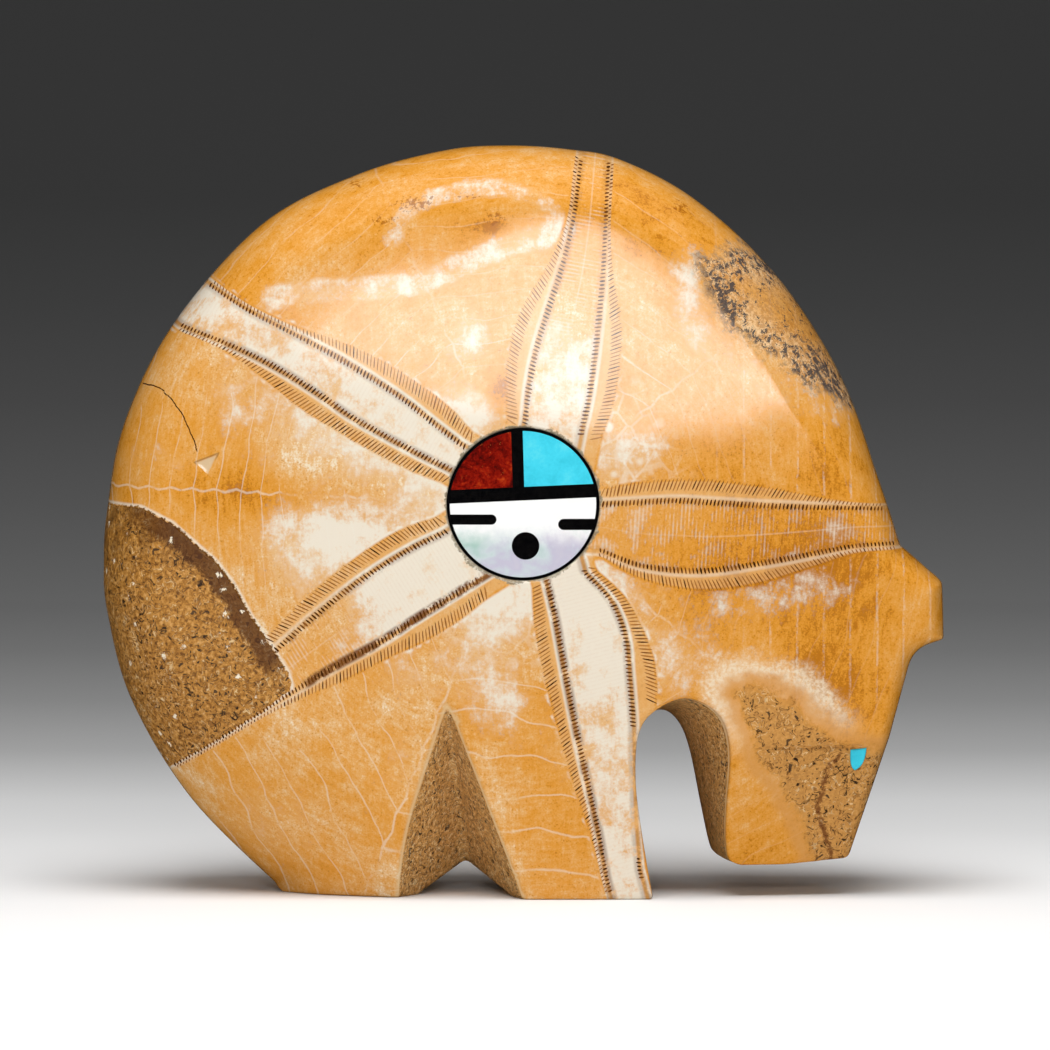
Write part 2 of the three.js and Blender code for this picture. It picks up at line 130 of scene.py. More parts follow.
# Least gaps from the outline and the eye to the rows of points along features, and from those rows
# and the rings round the inlay and the eye to the lattice
GAPS = {"to_features": 0.15, "features_to_lattice": 0.45, "rings_to_lattice": 0.3}
# How far aside rows of points lie along the groove's mouth, its valley and the brow cut, and how
# large a share of the way in to its middle they lie round the chip
ASIDE = {"mouth": (-0.36, -0.18, 0, 0.18, 0.36), "valley": (-0.5, -0.25, 0, 0.25, 0.5),
         "brow": (-0.5, -0.3, -0.18, -0.09, 0, 0.09, 0.18, 0.3, 0.5), "chip": (-0.02, 0.12, 0.3, 0.6)}
# Lattice on top of a stone of the inlay or an eye: its step, and its least gap to the outline
STONE_LATTICE = {"step": 0.7, "gap": 0.3}

# Half the side of the square that the bake map's pictures of the faces cover, and the scale and the
# lower corner on the map of the near face, the far face and the wall's strip
BAKE_HALF = 44.4
BAKE_MAP = {"near": (0.8, (0, 0)), "far": (0.32, (0, 0.715)), "wall": ((0.65, 0.135), (0.34, 0.86))}


# Curves

def unit(vectors):
    """Vectors scaled to length 1."""
    return vectors / np.linalg.norm(vectors, axis=-1, keepdims=True)


def left_of(ways):
    """Flat vectors turned a quarter turn to the left."""
    return np.stack([-ways[..., 1], ways[..., 0]], axis=-1)


def turned(degrees):
    """Unit vector at an angle."""
    return np.array([math.cos(math.radians(degrees)), math.sin(math.radians(degrees))])


def run_of(path):
    """Distance along a path from its start to each of its points."""
    return np.concatenate([[0], np.cumsum(np.linalg.norm(np.diff(path, axis=0), axis=1))])


def sampled(table, run, at):
    """A table's rows at the given places along its run, on straight lines between them."""
    return np.stack([np.interp(at, run, column) for column in table.T], axis=1)


def catmull_rom(points, steps):
    """Each span is the uniform Catmull-Rom cubic of its four nearest points."""
    p = np.asarray(points, float)
    p = np.vstack([p[:1], p, p[-1:]])
    t = np.linspace(0, 1, steps, endpoint=False)[None, :, None]
    a, b, c, d = (p[i:len(p) - 3 + i, None, :] for i in range(4))
    v0, v1 = (c - a) / 2, (d - b) / 2
    body = (2 * b - 2 * c + v0 + v1) * t ** 3 + (3 * c - 3 * b - 2 * v0 - v1) * t ** 2 + v0 * t + b
    return np.vstack([body.reshape(-1, p.shape[1]), p[-1:]])


def bezier(a, b, c, count):
    """Quadratic Bezier through count points: (1 - t)2 a + 2t(1 - t) b + t2 c."""
    t = np.linspace(0, 1, count)[:, None]
    return (1 - t) ** 2 * np.asarray(a) + 2 * t * (1 - t) * np.asarray(b) + t ** 2 * np.asarray(c)


def corner_arc(before, corner, after):
    """Quadratic Bezier over a corner, tangent to both sides at radius / tan(half the angle)."""
    centre = np.array(corner[:2], float)
    back, ahead = (unit(np.asarray(end[:2]) - centre) for end in (before, after))
    reach = corner[2] / math.tan(math.acos(back @ ahead) / 2)
    return bezier(centre + back * reach, centre, centre + ahead * reach, 12)


def outline_path(arch):
    """The closed outline with the given arch curve, and how many of its points are on the round
    stretch, which runs over the back and round the head to the arch."""
    ax, az = NOTCH["apex"]
    foot = az / NOTCH["slope"]
    front_foot, rear_foot = (ax + foot, 0, NOTCH["foot_round"]), (ax - foot, 0, NOTCH["foot_round"])
    apex = (ax, az, NOTCH["round"])
    heel = (*HEEL, HEEL_ROUND)
    head = [EAR_TOP, EAR_TIP, UNDER_EAR, BROW_END, MUZZLE_TIP, CHIN]
    arch = catmull_rom(arch, 16)[::-1]
    arch = arch[arch[:, 1] > CURVES_FROM["arch"]]
    ground = [TOE, front_foot, apex, rear_foot, heel]
    back = catmull_rom(BACK, 16)
    back = back[back[:, 1] > CURVES_FROM["back"]]
    stops = [back[-1], *head, arch[0]]
    parts = [back] + [corner_arc(stops[i], c, stops[i + 2]) for i, c in enumerate(head)]
    round_count = sum(len(part) for part in parts[:-1])
    stops = [arch[-1], *ground, back[0]]
    parts += [arch] + [corner_arc(stops[i], c, stops[i + 2]) for i, c in enumerate(ground)]
    return np.vstack(parts), round_count


def smooth_loop(loop, step, spread):
    """Gaussian blur along a closed curve of evenly spaced points."""
    turns = np.fft.rfftfreq(len(loop), step)
    gain = np.exp(-2 * (math.pi * turns * spread) ** 2)[:, None]
    return np.fft.irfft(np.fft.rfft(loop, axis=0) * gain, len(loop), axis=0)


def outline_columns():
    """Points along the outline, on the middle plane and at the mouth of the arch, and whether each is
    on the round stretch. Where it bends there are more of them: BEND_POINTS more per millimetre for
    each radian per millimetre, up to MOST_BEND radians."""
    waist, count = outline_path(ARCH_WAIST)
    mouth, _ = outline_path(ARCH_MOUTH)
    table = np.column_stack([waist, mouth, np.arange(len(waist)) < count])
    table = np.vstack([table, table[:1]])
    run = run_of(table[:, :2])
    fine = 0.05
    table = sampled(table, run, np.linspace(0, run[-1], int(run[-1] / fine), endpoint=False))
    table[:, :4] = smooth_loop(table[:, :4], fine, 0.1)
    along = np.roll(table[:, :2], -1, axis=0) - np.roll(table[:, :2], 1, axis=0)
    heading = np.unwrap(np.arctan2(along[:, 1], along[:, 0]))
    bend = np.abs(np.gradient(heading)) / fine
    need = 1 / COLUMN_STEP + BEND_POINTS * np.minimum(bend, MOST_BEND)
    need = smooth_loop(need[:, None], fine, 0.3)[:, 0]
    cost = np.concatenate([[0], np.cumsum(need * fine)])
    places = np.linspace(0, cost[-1], int(cost[-1]), endpoint=False)
    index = np.interp(places, cost, np.arange(len(cost)))
    table = np.vstack([table, table[:1]])
    columns = sampled(table, np.arange(len(table)), index)
    return columns[:, :2], columns[:, 2:4], columns[:, 4] > 0.5


def inward_normals(loop):
    """Unit normals on the inner side of a closed loop, whichever way round it runs."""
    along = np.roll(loop, -1, axis=0) - np.roll(loop, 1, axis=0)
    area = np.sum(loop[:, 0] * np.roll(loop[:, 1], -1) - np.roll(loop[:, 0], -1) * loop[:, 1])
    return unit(left_of(along) * np.sign(area))


def batches(count, size):
    """Slices that cover count rows, so that no table of distances grows too large."""
    return [slice(start, start + size) for start in range(0, count, size)]


def nearest_on(path, points, closed=False):
    """Distance from points to a polyline, and the place on it as a fractional index."""
    a = path if closed else path[:-1]
    b = np.roll(path, -1, axis=0) if closed else path[1:]
    span = b - a
    length2 = np.maximum(np.sum(span ** 2, axis=1), 1e-12)
    distance, place = np.empty(len(points)), np.empty(len(points))
    for batch in batches(len(points), 2000):
        p = points[batch, None, :]
        t = np.clip(np.sum((p - a) * span, axis=2) / length2, 0, 1)
        gap = np.hypot(p[:, :, 0] - a[:, 0] - t * span[:, 0], p[:, :, 1] - a[:, 1] - t * span[:, 1])
        best = np.argmin(gap, axis=1)
        rows = np.arange(len(best))
        distance[batch], place[batch] = gap[rows, best], best + t[rows, best]
    return distance, place


def distance_to(path, points, closed=True):
    """Distance from points to a loop or a path."""
    return nearest_on(np.asarray(path, float), points, closed)[0]


def inside(loop, points):
    """Even-odd test of points against a closed loop."""
    a, b = loop, np.roll(loop, -1, axis=0)
    rise = np.where(b[:, 1] == a[:, 1], 1e-9, b[:, 1] - a[:, 1])
    result = np.zeros(len(points), bool)
    for batch in batches(len(points), 4000):
        x, z = points[batch, 0, None], points[batch, 1, None]
        spans = (a[:, 1] > z) != (b[:, 1] > z)
        cross = a[:, 0] + (z - a[:, 1]) * (b[:, 0] - a[:, 0]) / rise
        result[batch] = np.sum(spans & (x < cross), axis=1) % 2 == 1
    return result


def signed_distance(outline, points):
    """Distance to a closed outline, positive inside it."""
    outline = np.array(outline, float)
    distance = distance_to(outline, points)
    return np.where(inside(outline, points), distance, -distance)


# Thickness of the carving

def smooth_step(low, high, value):
    """0 below low, 1 above high, and the cubic 3t2 - 2t3 between them."""
    t = np.clip((value - low) / (high - low), 0, 1)
    return t * t * (3 - 2 * t)


def soft_min(a, b, blend):
    """Smaller of two values, less h2 * blend / 4 where they are closer than blend."""
    h = np.maximum(blend - np.abs(a - b), 0) / blend
    return np.minimum(a, b) - h * h * blend / 4


def soft_max(a, b, blend):
    """Larger of two values, rounded as soft_min is."""
    return -soft_min(-a, -b, blend)


def dome(x, z):
    """Crown height less a parabola along x and one along z, steeper above the crown than below."""
    dx, dz = x - CROWN[0], z - CROWN[1]
    return HALF - FALL["along"] * dx ** 2 - np.where(dz > 0, FALL["up"], FALL["down"]) * dz ** 2


def shell_height(x, z):
    """The dome, thinned over the rear leg by a plane, with slight waves away from the inlay."""
    haunch = HAUNCH["half"] + HAUNCH["along"] * (x - HAUNCH["at"][0]) + HAUNCH["up"] * (z - HAUNCH["at"][1])
    waves = sum(np.sin(along * x + up * z + start) for along, up, start in WAVES) / 2
    away = smooth_step(9, 14, np.hypot(x - CROWN[0], z - CROWN[1]))
    return soft_min(dome(x, z), haunch, HAUNCH["blend"]) + WAVE_HEIGHT * (waves - 1) * away


def plane_through(*points):
    """The plane through three (x, height, z) points: its rise along x and z, and its height at the origin."""
    p = np.array(points)
    return np.linalg.solve(np.stack([p[:, 0], p[:, 2], np.ones(3)], axis=1), p[:, 1])


GROOVE_PLANES = [plane_through(GROOVE_TOP, GROOVE_FOOT, GROOVE_REAR),
                 plane_through(GROOVE_TOP, GROOVE_FOOT, GROOVE_FRONT)]


def plane_height(plane, x, z):
    """Height of a plane over x and z."""
    return plane[0] * x + plane[1] * z + plane[2]


def groove_height(x, z):
    """The V groove: the higher of its two planes, rounded along the valley."""
    left, right = (plane_height(plane, x, z) for plane in GROOVE_PLANES)
    return soft_max(left, right, GROOVE_SOFT["valley"])


def brow_line(x):
    """Height z of the cut brow over x."""
    return MUZZLE["at"][1] + BROW["tilt"] * (x - MUZZLE["at"][0])


def carved_height(x, z, grooved=True):
    """Face height before the rim is rounded: shell, muzzle plane below the brow, brow cut, groove."""
    height = shell_height(x, z)
    muzzle = MUZZLE["half"] + MUZZLE["along"] * (x - MUZZLE["at"][0]) + MUZZLE["up"] * (z - MUZZLE["at"][1])
    below = smooth_step(-BROW["soft"], BROW["soft"], brow_line(x) - z)
    below = below * smooth_step(MUZZLE["rear"], MUZZLE["rear"] + RUN_IN, x)
    height = height + (soft_min(height, muzzle, MUZZLE["blend"]) - height) * below
    cut = BROW["depth"] * smooth_step(BROW["from"], BROW["from"] + RUN_IN, x)
    height = height - cut * np.exp(-((z - brow_line(x)) / BROW["width"]) ** 2)
    chipped = signed_distance(CHIP, np.column_stack([x, z]))
    height = height - CHIP_DEPTH * smooth_step(-0.05, 0.5, chipped)
    if not grooved:
        return height
    return np.where(z < GROOVE_LIMIT, soft_min(height, groove_height(x, z), GROOVE_SOFT["mouth"]), height)


WAIST, MOUTH_LEVEL, ON_ROUND = outline_columns()
ROUND_START = np.flatnonzero(ON_ROUND & ~np.roll(ON_ROUND, 1))[0]
ROUND_PATH = np.roll(WAIST, -ROUND_START, axis=0)[np.roll(ON_ROUND, -ROUND_START)]


def rim_values(points):
    """Rim width and flat share at points of the round stretch: straight lines between the stations."""
    z, width, flat = (np.array(c) for c in zip(*HEAD_RIM))
    on_head = points[:, 0] > 0
    return (np.where(on_head, np.interp(points[:, 1], z, width), BACK_RIM),
            np.where(on_head, np.interp(points[:, 1], z, flat), 0.0))


RIM_WIDTH, RIM_FLAT = rim_values(ROUND_PATH)


def soft_distance(points, path, power=7):
    """Distance that rounds off creases inside corners: the sum of step / distance^power over the path,
    scaled so that it is exact beside a straight line."""
    step = 0.06
    run = run_of(path)
    path = sampled(path, run, np.arange(0, run[-1], step))
    scale = math.sqrt(math.pi) * math.gamma((power - 1) / 2) / math.gamma(power / 2)
    total = np.empty(len(points))
    for batch in batches(len(points), 1000):
        gap2 = np.sum((points[batch, None, :] - path) ** 2, axis=2)
        total[batch] = np.sum(gap2 ** (-power / 2), axis=1)
    return (total * step / scale) ** (-1 / (power - 1))


def rimmed_height(points, grooved=True):
    """The carved height times the rim's quarter ellipse over the distance to the round stretch."""
    x, z = points.T
    distance, place = nearest_on(ROUND_PATH, points)
    steps = np.arange(len(ROUND_PATH))
    width, flat = np.interp(place, steps, RIM_WIDTH), np.interp(place, steps, RIM_FLAT)
    near_ear = (x > EAR_REGION) & (distance > CREASE["start"]) & (distance < CREASE["end"])
    if near_ear.any():
        soft = soft_distance(points[near_ear], ROUND_PATH)
        share = smooth_step(CREASE["start"], CREASE["full"], distance[near_ear])
        distance[near_ear] += (np.minimum(soft, distance[near_ear]) - distance[near_ear]) * share
    inward = np.clip(distance / width, 0, 1)
    return carved_height(x, z, grooved) * (flat + (1 - flat) * np.sqrt(1 - (1 - inward) ** 2))


def edge_round(height):
    """Radius of the rounding along a cut edge."""
    return np.minimum(EDGE_ROUND, height / 2)


def flared(height):
    """The outline at heights off the middle plane: it widens from the waist to the mouth."""
    share = (np.abs(height) / ARCH_MOUTH_Y)[:, None] ** ARCH_FLARE
    return WAIST + (MOUTH_LEVEL - WAIST) * share


def face_outline():
    """The outline where the faces meet the walls, and the walls' half height there."""
    place = MOUTH_LEVEL
    for _ in range(3):
        height = rimmed_height(place)
        height = np.where(ON_ROUND, height, height - edge_round(height))
        place = flared(height)
    return place, height


FACE_LOOP, WALL_HALF = face_outline()
EDGE_PATH = FACE_LOOP[~ON_ROUND]


def face_height(points, grooved=True):
    """Half thickness at points of the face: the rimmed height less a quarter round of radius r along
    the cut edges, r(1 - sqrt(1 - (1 - distance / r)2))."""
    height = rimmed_height(points, grooved)
    towards = 1 - np.clip(distance_to(EDGE_PATH, points, closed=False) / EDGE_ROUND, 0, 1)
    return height - edge_round(height) * (1 - np.sqrt(1 - towards ** 2))


# Pattern of the fossil shell on the inlaid face

# Petals of pores round the disc. Each has its direction in degrees, where its pores end, and the
# offset of its four pore rows from its axis at the stations: outer and inner on the right of the
# axis, then inner and outer on its left. Stain is the brown along the inner rows, right and left.
STATIONS = (8.5, 12, 16, 20, 25, 30, 35, 40)
PETALS = {
    "upper_left": {
        "turn": 149, "end": 40.5, "cream": 0.85, "fade": 0.3, "stain": (0.3, 0.45),
        "rows": ((-3.5, -4.5, -4.9, -5.0, -4.5, -3.5, -3.0, -3.2),
                 (-2.0, -2.4, -2.9, -3.1, -3.1, -2.8, -2.5, -2.6),
                 (0.8, 1.1, 1.3, 1.4, 1.1, 1.1, 1.6, 2.5), (2.2, 2.8, 3.1, 3.2, 3.1, 2.5, 2.3, 3.1))},
    "top": {
        "turn": 79, "end": 36.6, "cream": 0.6, "fade": 0.9, "stain": (0.25, 0.3),
        "rows": ((-6.5, -7.0, -6.9, -6.3, -4.6, -3.4, -2.7, -2.2),
                 (-4.5, -4.6, -4.4, -4.1, -3.6, -2.9, -2.2, -1.7),
                 (1.4, 1.7, 1.7, 1.3, 0.7, 0.5, 0.8, 1.1), (3.1, 4.0, 4.2, 3.7, 2.0, 1.1, 1.4, 1.6))},
    "right": {
        "turn": -3.4, "end": 39.5, "cream": 0.25, "fade": 0.3, "stain": (0.15, 0.15),
        "rows": ((-4.9, -6.6, -7.5, -7.6, -6.6, -4.8, -3.0, -2.4),
                 (-4.3, -5.5, -5.9, -5.7, -4.7, -3.5, -2.3, -1.8),
                 (0.5, 0.9, 1.3, 1.3, 1.3, 1.4, 1.6, 1.6), (2.0, 2.8, 3.3, 3.4, 3.1, 2.5, 2.1, 2.1))},
    "bottom": {
        "turn": -75.4, "end": 42.5, "cream": 0.9, "fade": 0.3, "stain": (0.6, 0.4),
        "rows": ((-1.0, -1.7, -2.1, -2.2, -2.2, -2.1, -1.8, -1.9),
                 (0.4, 0.3, 0.0, -0.3, -0.6, -0.8, -1.0, -1.4),
                 (4.4, 6.3, 6.8, 6.2, 5.3, 4.1, 3.0, 2.1), (5.4, 7.6, 8.6, 8.8, 7.5, 5.0, 3.5, 2.7))},
    "lower_left": {
        "turn": 212, "end": 46.0, "cream": 1.0, "fade": 0.8, "stain": (0.35, 1.0),
        "rows": ((-3.4, -4.2, -4.3, -4.0, -3.3, -2.2, -1.5, -1.5),
                 (-1.8, -2.2, -2.3, -2.1, -1.5, -0.7, -0.2, 0.0),
                 (4.2, 4.2, 4.2, 4.3, 4.0, 3.9, 4.0, 4.1), (6.1, 6.5, 6.5, 6.0, 5.6, 4.9, 4.5, 4.5))},
}
PORE_PITCH = 0.4

# Chevrons of the plates between the petals: the sector's axis in degrees, how far its seams lean
# back on its right and left, and how far apart they are
PLATES = {37.7: (0.3, 0.3, 2.8), 114: (0.35, 0.35, 2.6), 177.6: (0.15, 0.15, 2.3), 248: (0.9, 0.25, 3.9),
          320.6: (0.4, 0.4, 3.0)}

# Patches where the shell is gone and the rock inside shows
REAR_PATCH = [(-46, 41.4), (-42.9, 41.2), (-39.7, 41.0), (-36.4, 39.4), (-33.9, 37.2),
              (-31.9, 35.5), (-30, 33.1), (-28.2, 29.8), (-25.9, 26.4), (-24.3, 23.8),
              (-23.9, 22.2), (-26.8, 19.9), (-31.7, 16.7), (-37.2, 13.3), (-42, 10)]
TOP_PATCH = [(17.6, 66.8), (18.2, 64.5), (18.8, 62.3), (20.4, 60.2), (23, 57.8), (26.5, 55.6),
             (29.8, 53.6), (33.3, 51.2), (37, 50), (36, 62), (29, 67), (22.5, 68.8)]
CHEEK_PATCH = [(21.7, 22), (23.5, 22.7), (26.5, 22.4), (28.7, 21.3), (30.9, 18.9), (32.7, 17.3),
               (35.3, 16.4), (41, 16), (38, 2), (29.9, 2), (29.9, 4.5), (28.3, 8.5), (26.5, 11.6),
               (24.3, 14.2), (23.4, 17)]
VEIN = [(33.1, 15.1), (31.9, 13.7), (31.5, 11.5), (30.9, 9.5), (31.5, 7.3), (32.3, 4.9), (32.6, 3)]
CRACK = [(-39.8, 53.8), (-37.9, 53.4), (-36.2, 51.9), (-34.9, 49.9), (-33.7, 46.8)]

# Soft spots of paler and darker stone: x, z, reach along each, and amount
CREAM_SPOTS = [(-17, 48, 9, 4, 0.75), (-20, 37.5, 7, 4, 0.95), (-9, 45, 5, 8, 0.45), (3, 33, 8, 4, 0.6),
               (4, 57, 4, 8, 0.35), (-30.5, 54, 4, 5, 0.3), (11, 28, 6, 5, 0.35), (17, 24.3, 6, 3.5, 0.35),
               (24, 32.5, 9, 2.5, 0.16), (-27, 8, 8, 5, 0.25), (-14, 31, 10, 3, 0.4),
               (-5.6, 58.8, 2.4, 2.6, 0.55), (-5.2, 51.2, 1.8, 1.6, 0.6), (17.2, 64.4, 2.3, 3.6, 0.6),
               (12, 47, 4, 3, 0.5), (16, 40, 4, 2.5, 0.4), (-23, 52, 6, 3, 0.3), (-38, 46, 4, 2, 0.3),
               (29.5, 32, 4.5, 2.8, 0.28), (22.5, 30.5, 3.5, 2.2, 0.25), (-11, 24, 5, 4, 0.3),
               (5, 15, 3, 4, 0.25), (-3.5, 27, 4, 6, 0.42), (-1.5, 20, 3.5, 4, 0.3), (-12, 14, 4, 5, 0.2)]
# Streaks of cream: amount, half width, path. The first two run along the upper edge of the softbox's
# reflection and are partly a painted highlight there
CREAM_AND_HIGHLIGHT_STREAKS = [(0.5, 1.5, [(-26, 62.8), (-23.6, 63.4), (-18.3, 63.7), (-13.3, 64), (-9.3, 64.9),
                             (-4.3, 67.1), (0.8, 68.9), (4.2, 69.9)]),
                 (0.3, 2.2, [(17.5, 61.5), (18.6, 59), (22.5, 56), (27.3, 53.3), (32.6, 51.2)]),
                 (0.45, 1.2, [(-13.5, 68.9), (-11.4, 72.1), (-7.7, 73.7), (-2.4, 74.2), (1.9, 72.8),
                              (3.5, 71.3)])]
OCHRE_SPOTS = [(-8, 72.5, 16, 5, 0.12), (-26, 64, 10, 6, 0.12), (31, 47, 10, 8, 0.2), (22, 36, 14, 5, 0.35),
               (31, 26, 7, 8, 0.25), (28, 22, 8, 5, 0.15), (-38, 50, 6, 8, 0.15), (14, 71, 7, 5, 0.25),
               (-28, 42, 9, 2.5, 0.3), (-12, 30, 6, 4, 0.15), (3, 20, 5, 8, 0.1), (8, 8, 5, 8, 0.1),
               (-44, 51, 1.6, 4, 0.6), (30, 61, 6, 4, 0.2), (-2, 53.2, 1.6, 2.2, 0.6),
               (-3.2, 70.2, 1.8, 0.8, 0.5)]
RUST_SPOTS = [(-11, 72.6, 3, 1.6, 1), (-2.6, 71.2, 2.6, 1.4, 0.9), (-17.5, 75, 2.5, 1.5, 0.8),
              (-6, 73.4, 4, 0.8, 0.8), (16.5, 72.3, 1.4, 1.2, 0.9), (-14, 70.8, 3, 1, 0.75),
              (9, 76, 3, 0.8, 0.7)]

# Depth behind the middle plane over which the pattern of the near face fades, and how far its signed
# distances are lowered there, so that nothing of it is left
FADE = 9.0
LOWERED = {"petal": 8.0, "patch": 16.0, "chip": 30.0}


def spots(table, points):
    """Sum of bell-shaped spots: amount * exp of minus the squared offsets over the reaches."""
    x, z, reach_x, reach_z, amount = np.array(table).T
    return np.sum(amount * np.exp(-((points[:, 0, None] - x) / reach_x) ** 2
                                  - ((points[:, 1, None] - z) / reach_z) ** 2), axis=1)


def axis_frame(degrees, points):
    """Distance of points from the crown along a direction, and to the left of it."""
    along = turned(degrees)
    offset = points - CROWN
    return offset @ along, offset @ left_of(along)


def row_offset(petal, row, a):
    """Offset of one of a petal's rows from its axis, a smooth curve through the stations."""
    stations = catmull_rom(np.column_stack([STATIONS, petal["rows"][row]]), 8)
    return np.interp(a, stations[:, 0], stations[:, 1])


def petal_fields(points):
    """For each point, its nearest petal: distance along it, how far it lies inside the inner and
    the outer rows, the cream and stain of that side, and the offset from the petal's middle."""
    outside = -30.0
    result = np.tile([0.0, outside, outside, 0.0, 0.0, 9.0], (len(points), 1))
    best = np.full(len(points), outside)
    for petal in PETALS.values():
        a, b = axis_frame(petal["turn"], points)
        rows = [row_offset(petal, i, a) for i in range(4)]
        inner = np.minimum(b - rows[1], rows[2] - b)
        outer = np.minimum(b - rows[0], rows[3] - b)
        on_left = rows[2] - b < b - rows[1]
        stain = np.where(on_left, petal["stain"][1], petal["stain"][0])
        cream = petal["cream"] * (1 - petal["fade"] * smooth_step(14, 25, a))
        better = (outer > best) & (a > 4)
        values = np.column_stack([a, inner, outer, cream, stain, b - (rows[1] + rows[2]) / 2])
        result[better] = values[better]
        best[better] = outer[better]
    return result


def plate_fields(points):
    """For each point, how many seams of its sector lie between it and the crown, and its offset
    from the sector's axis."""
    turn = np.degrees(np.arctan2(points[:, 1] - CROWN[1], points[:, 0] - CROWN[0]))
    result, best = np.zeros((len(points), 2)), np.full(len(points), np.inf)
    for degrees, (right, left, step) in PLATES.items():
        a, b = axis_frame(degrees, points)
        away = np.abs((turn - degrees + 180) % 360 - 180)
        across = (a + np.where(b > 0, left * b, -right * b)) / step
        better = away < best
        result[better] = np.column_stack([across, b])[better]
        best[better] = away[better]
    return result


# Meshes

# Twice the area in mm2 under which three points count as in line
IN_LINE = 2e-5


def placed(name, data):
    """A mesh, light or camera as an object in the scene."""
    thing = bpy.data.objects.new(name, data)
    bpy.context.scene.collection.objects.link(thing)
    return thing


def welded(vertices, triangles):
    """Vertices that share a place made one: the kept vertices, the triangles that keep an area in
    their numbers, and which triangles those are."""
    key = np.round(vertices / 1e-4).astype(np.int64)
    _, first, back = np.unique(key, axis=0, return_index=True, return_inverse=True)
    triangles = back.reshape(-1)[triangles]
    kept = (triangles[:, 0] != triangles[:, 1]) & (triangles[:, 1] != triangles[:, 2]) \
        & (triangles[:, 2] != triangles[:, 0])
    return first, triangles[kept], kept


def make_piece(name, vertices, triangles, material, node=None, attributes=None, uv=None,
               smooth=True):
    """A closed mesh of triangles in millimetres, riding on the carving."""
    mesh = bpy.data.meshes.new(name)
    mesh.from_pydata((np.asarray(vertices) * MM).tolist(), [], np.asarray(triangles).tolist())
    mesh.polygons.foreach_set("use_smooth", np.full(len(mesh.polygons), smooth))
    for key, values in (attributes or {}).items():
        values = np.asarray(values, np.float32)
        kind = "FLOAT" if values.ndim == 1 else "FLOAT_VECTOR"
        attribute = mesh.attributes.new(key, kind, "POINT")
        attribute.data.foreach_set("value" if values.ndim == 1 else "vector", values.ravel())
    if uv is not None:
        layer = mesh.uv_layers.new(name="OFBake")
        layer.uv.foreach_set("vector", np.asarray(uv, np.float32).ravel())
    mesh.update()
    mesh.materials.append(material)
    piece = placed(name, mesh)
    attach(piece, "root")
    if node:
        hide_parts(node)


def triangulate(points, edges, loop):
    """Constrained Delaunay triangles of flat points inside a loop, counterclockwise, without those
    between three points in line."""
    out = delaunay_2d_cdt(points.tolist(), edges, [], 0, 1e-6)
    flat = np.array([tuple(p) for p in out[0]])
    triangles = np.array([tuple(f) for f in out[2]])
    centre = flat[triangles].mean(axis=1)
    triangles = triangles[inside(loop, centre)]
    a, b, c = (flat[triangles[:, i]] for i in range(3))
    turn = (b[:, 0] - a[:, 0]) * (c[:, 1] - a[:, 1]) - (b[:, 1] - a[:, 1]) * (c[:, 0] - a[:, 0])
    triangles[turn < 0] = triangles[turn < 0][:, ::-1]
    return flat, triangles[np.abs(turn) > IN_LINE]


def loop_edges(loops):
    """Edges that join the points of each loop in a ring, for loops stacked one after the other."""
    edges, start = [], 0
    for loop in loops:
        index = np.arange(len(loop)) + start
        edges.append(np.column_stack([index, np.roll(index, -1)]))
        start += len(loop)
    return np.vstack(edges)


def circle(radius, count, centre=(0.0, 0.0)):
    """Points round a circle."""
    turn = np.linspace(0, 2 * math.pi, count, endpoint=False)
    return np.column_stack([centre[0] + radius * np.cos(turn), centre[1] + radius * np.sin(turn)])


def eye_loop(margin, count=10):
    """Teardrop with a flat top: two quadratic Beziers from the top corners to the low point."""
    x, z = EYE["at"]
    half, top, low = EYE["width"] / 2 + margin, z + margin, z - EYE["drop"] - margin
    tip = (x + EYE["lean"], low)
    rear_bend, front_bend = (x - half - 0.12, low + 0.25), (x + half * 0.85, low + 0.35)
    left = bezier((x - half, top - EYE["slant"]), rear_bend, tip, count)
    right = bezier(tip, front_bend, (x + half, top), count)
    across = np.linspace(0, 1, count)[1:-1, None]
    lid = np.array((x + half, top)) + across * np.array((-2 * half, -EYE["slant"]))
    return np.vstack([left, right[1:], lid])


def grid_lattice(loop, step):
    """Rows of points over the box round a loop, every second row shifted by half a step."""
    low, high = loop.min(axis=0), loop.max(axis=0)
    xs, zs = np.arange(low[0], high[0], step), np.arange(low[1], high[1], step * math.sqrt(3) / 2)
    x, z = np.meshgrid(xs, zs)
    return np.column_stack([(x + (np.arange(len(zs)) % 2)[:, None] * step / 2).ravel(), z.ravel()])


def feature_rows():
    """Rows of points beside the groove's mouth and valley, along the brow cut and round the chip."""
    rows = []
    z = np.arange(0.9, 22.5, 0.3)
    for plane, (outer, inner) in zip(GROOVE_PLANES, ((-20.0, -7.0), (6.0, -6.5))):
        outer, inner = np.full_like(z, outer), np.full_like(z, inner)
        for _ in range(24):
            middle = (outer + inner) / 2
            over = plane_height(plane, middle, z) > shell_height(middle, z)
            outer, inner = np.where(over, middle, outer), np.where(over, inner, middle)
        x = (outer + inner) / 2
        kept = np.abs(plane_height(plane, x, z) - shell_height(x, z)) < 0.05
        rows += [np.column_stack([x + aside, z])[kept] for aside in ASIDE["mouth"]]
    top, foot = np.array(GROOVE_TOP)[[0, 2]], np.array(GROOVE_FOOT)[[0, 2]]
    valley = foot + (top - foot) * np.linspace(0, 1, 64)[:, None]
    rows += [valley + (aside, 0) for aside in ASIDE["valley"]]
    x = np.arange(BROW["from"], BROW["to"], 0.3)
    rows += [np.column_stack([x, brow_line(x) + aside]) for aside in ASIDE["brow"]]
    share = np.linspace(0, 1, 10, endpoint=False)[:, None]
    middle = np.mean(CHIP, axis=0)
    for inset in ASIDE["chip"]:
        corners = np.array(CHIP) + (middle - CHIP) * inset
        rows += [a + (b - a) * share for a, b in zip(corners, np.roll(corners, -1, axis=0))]
    return np.vstack(rows)


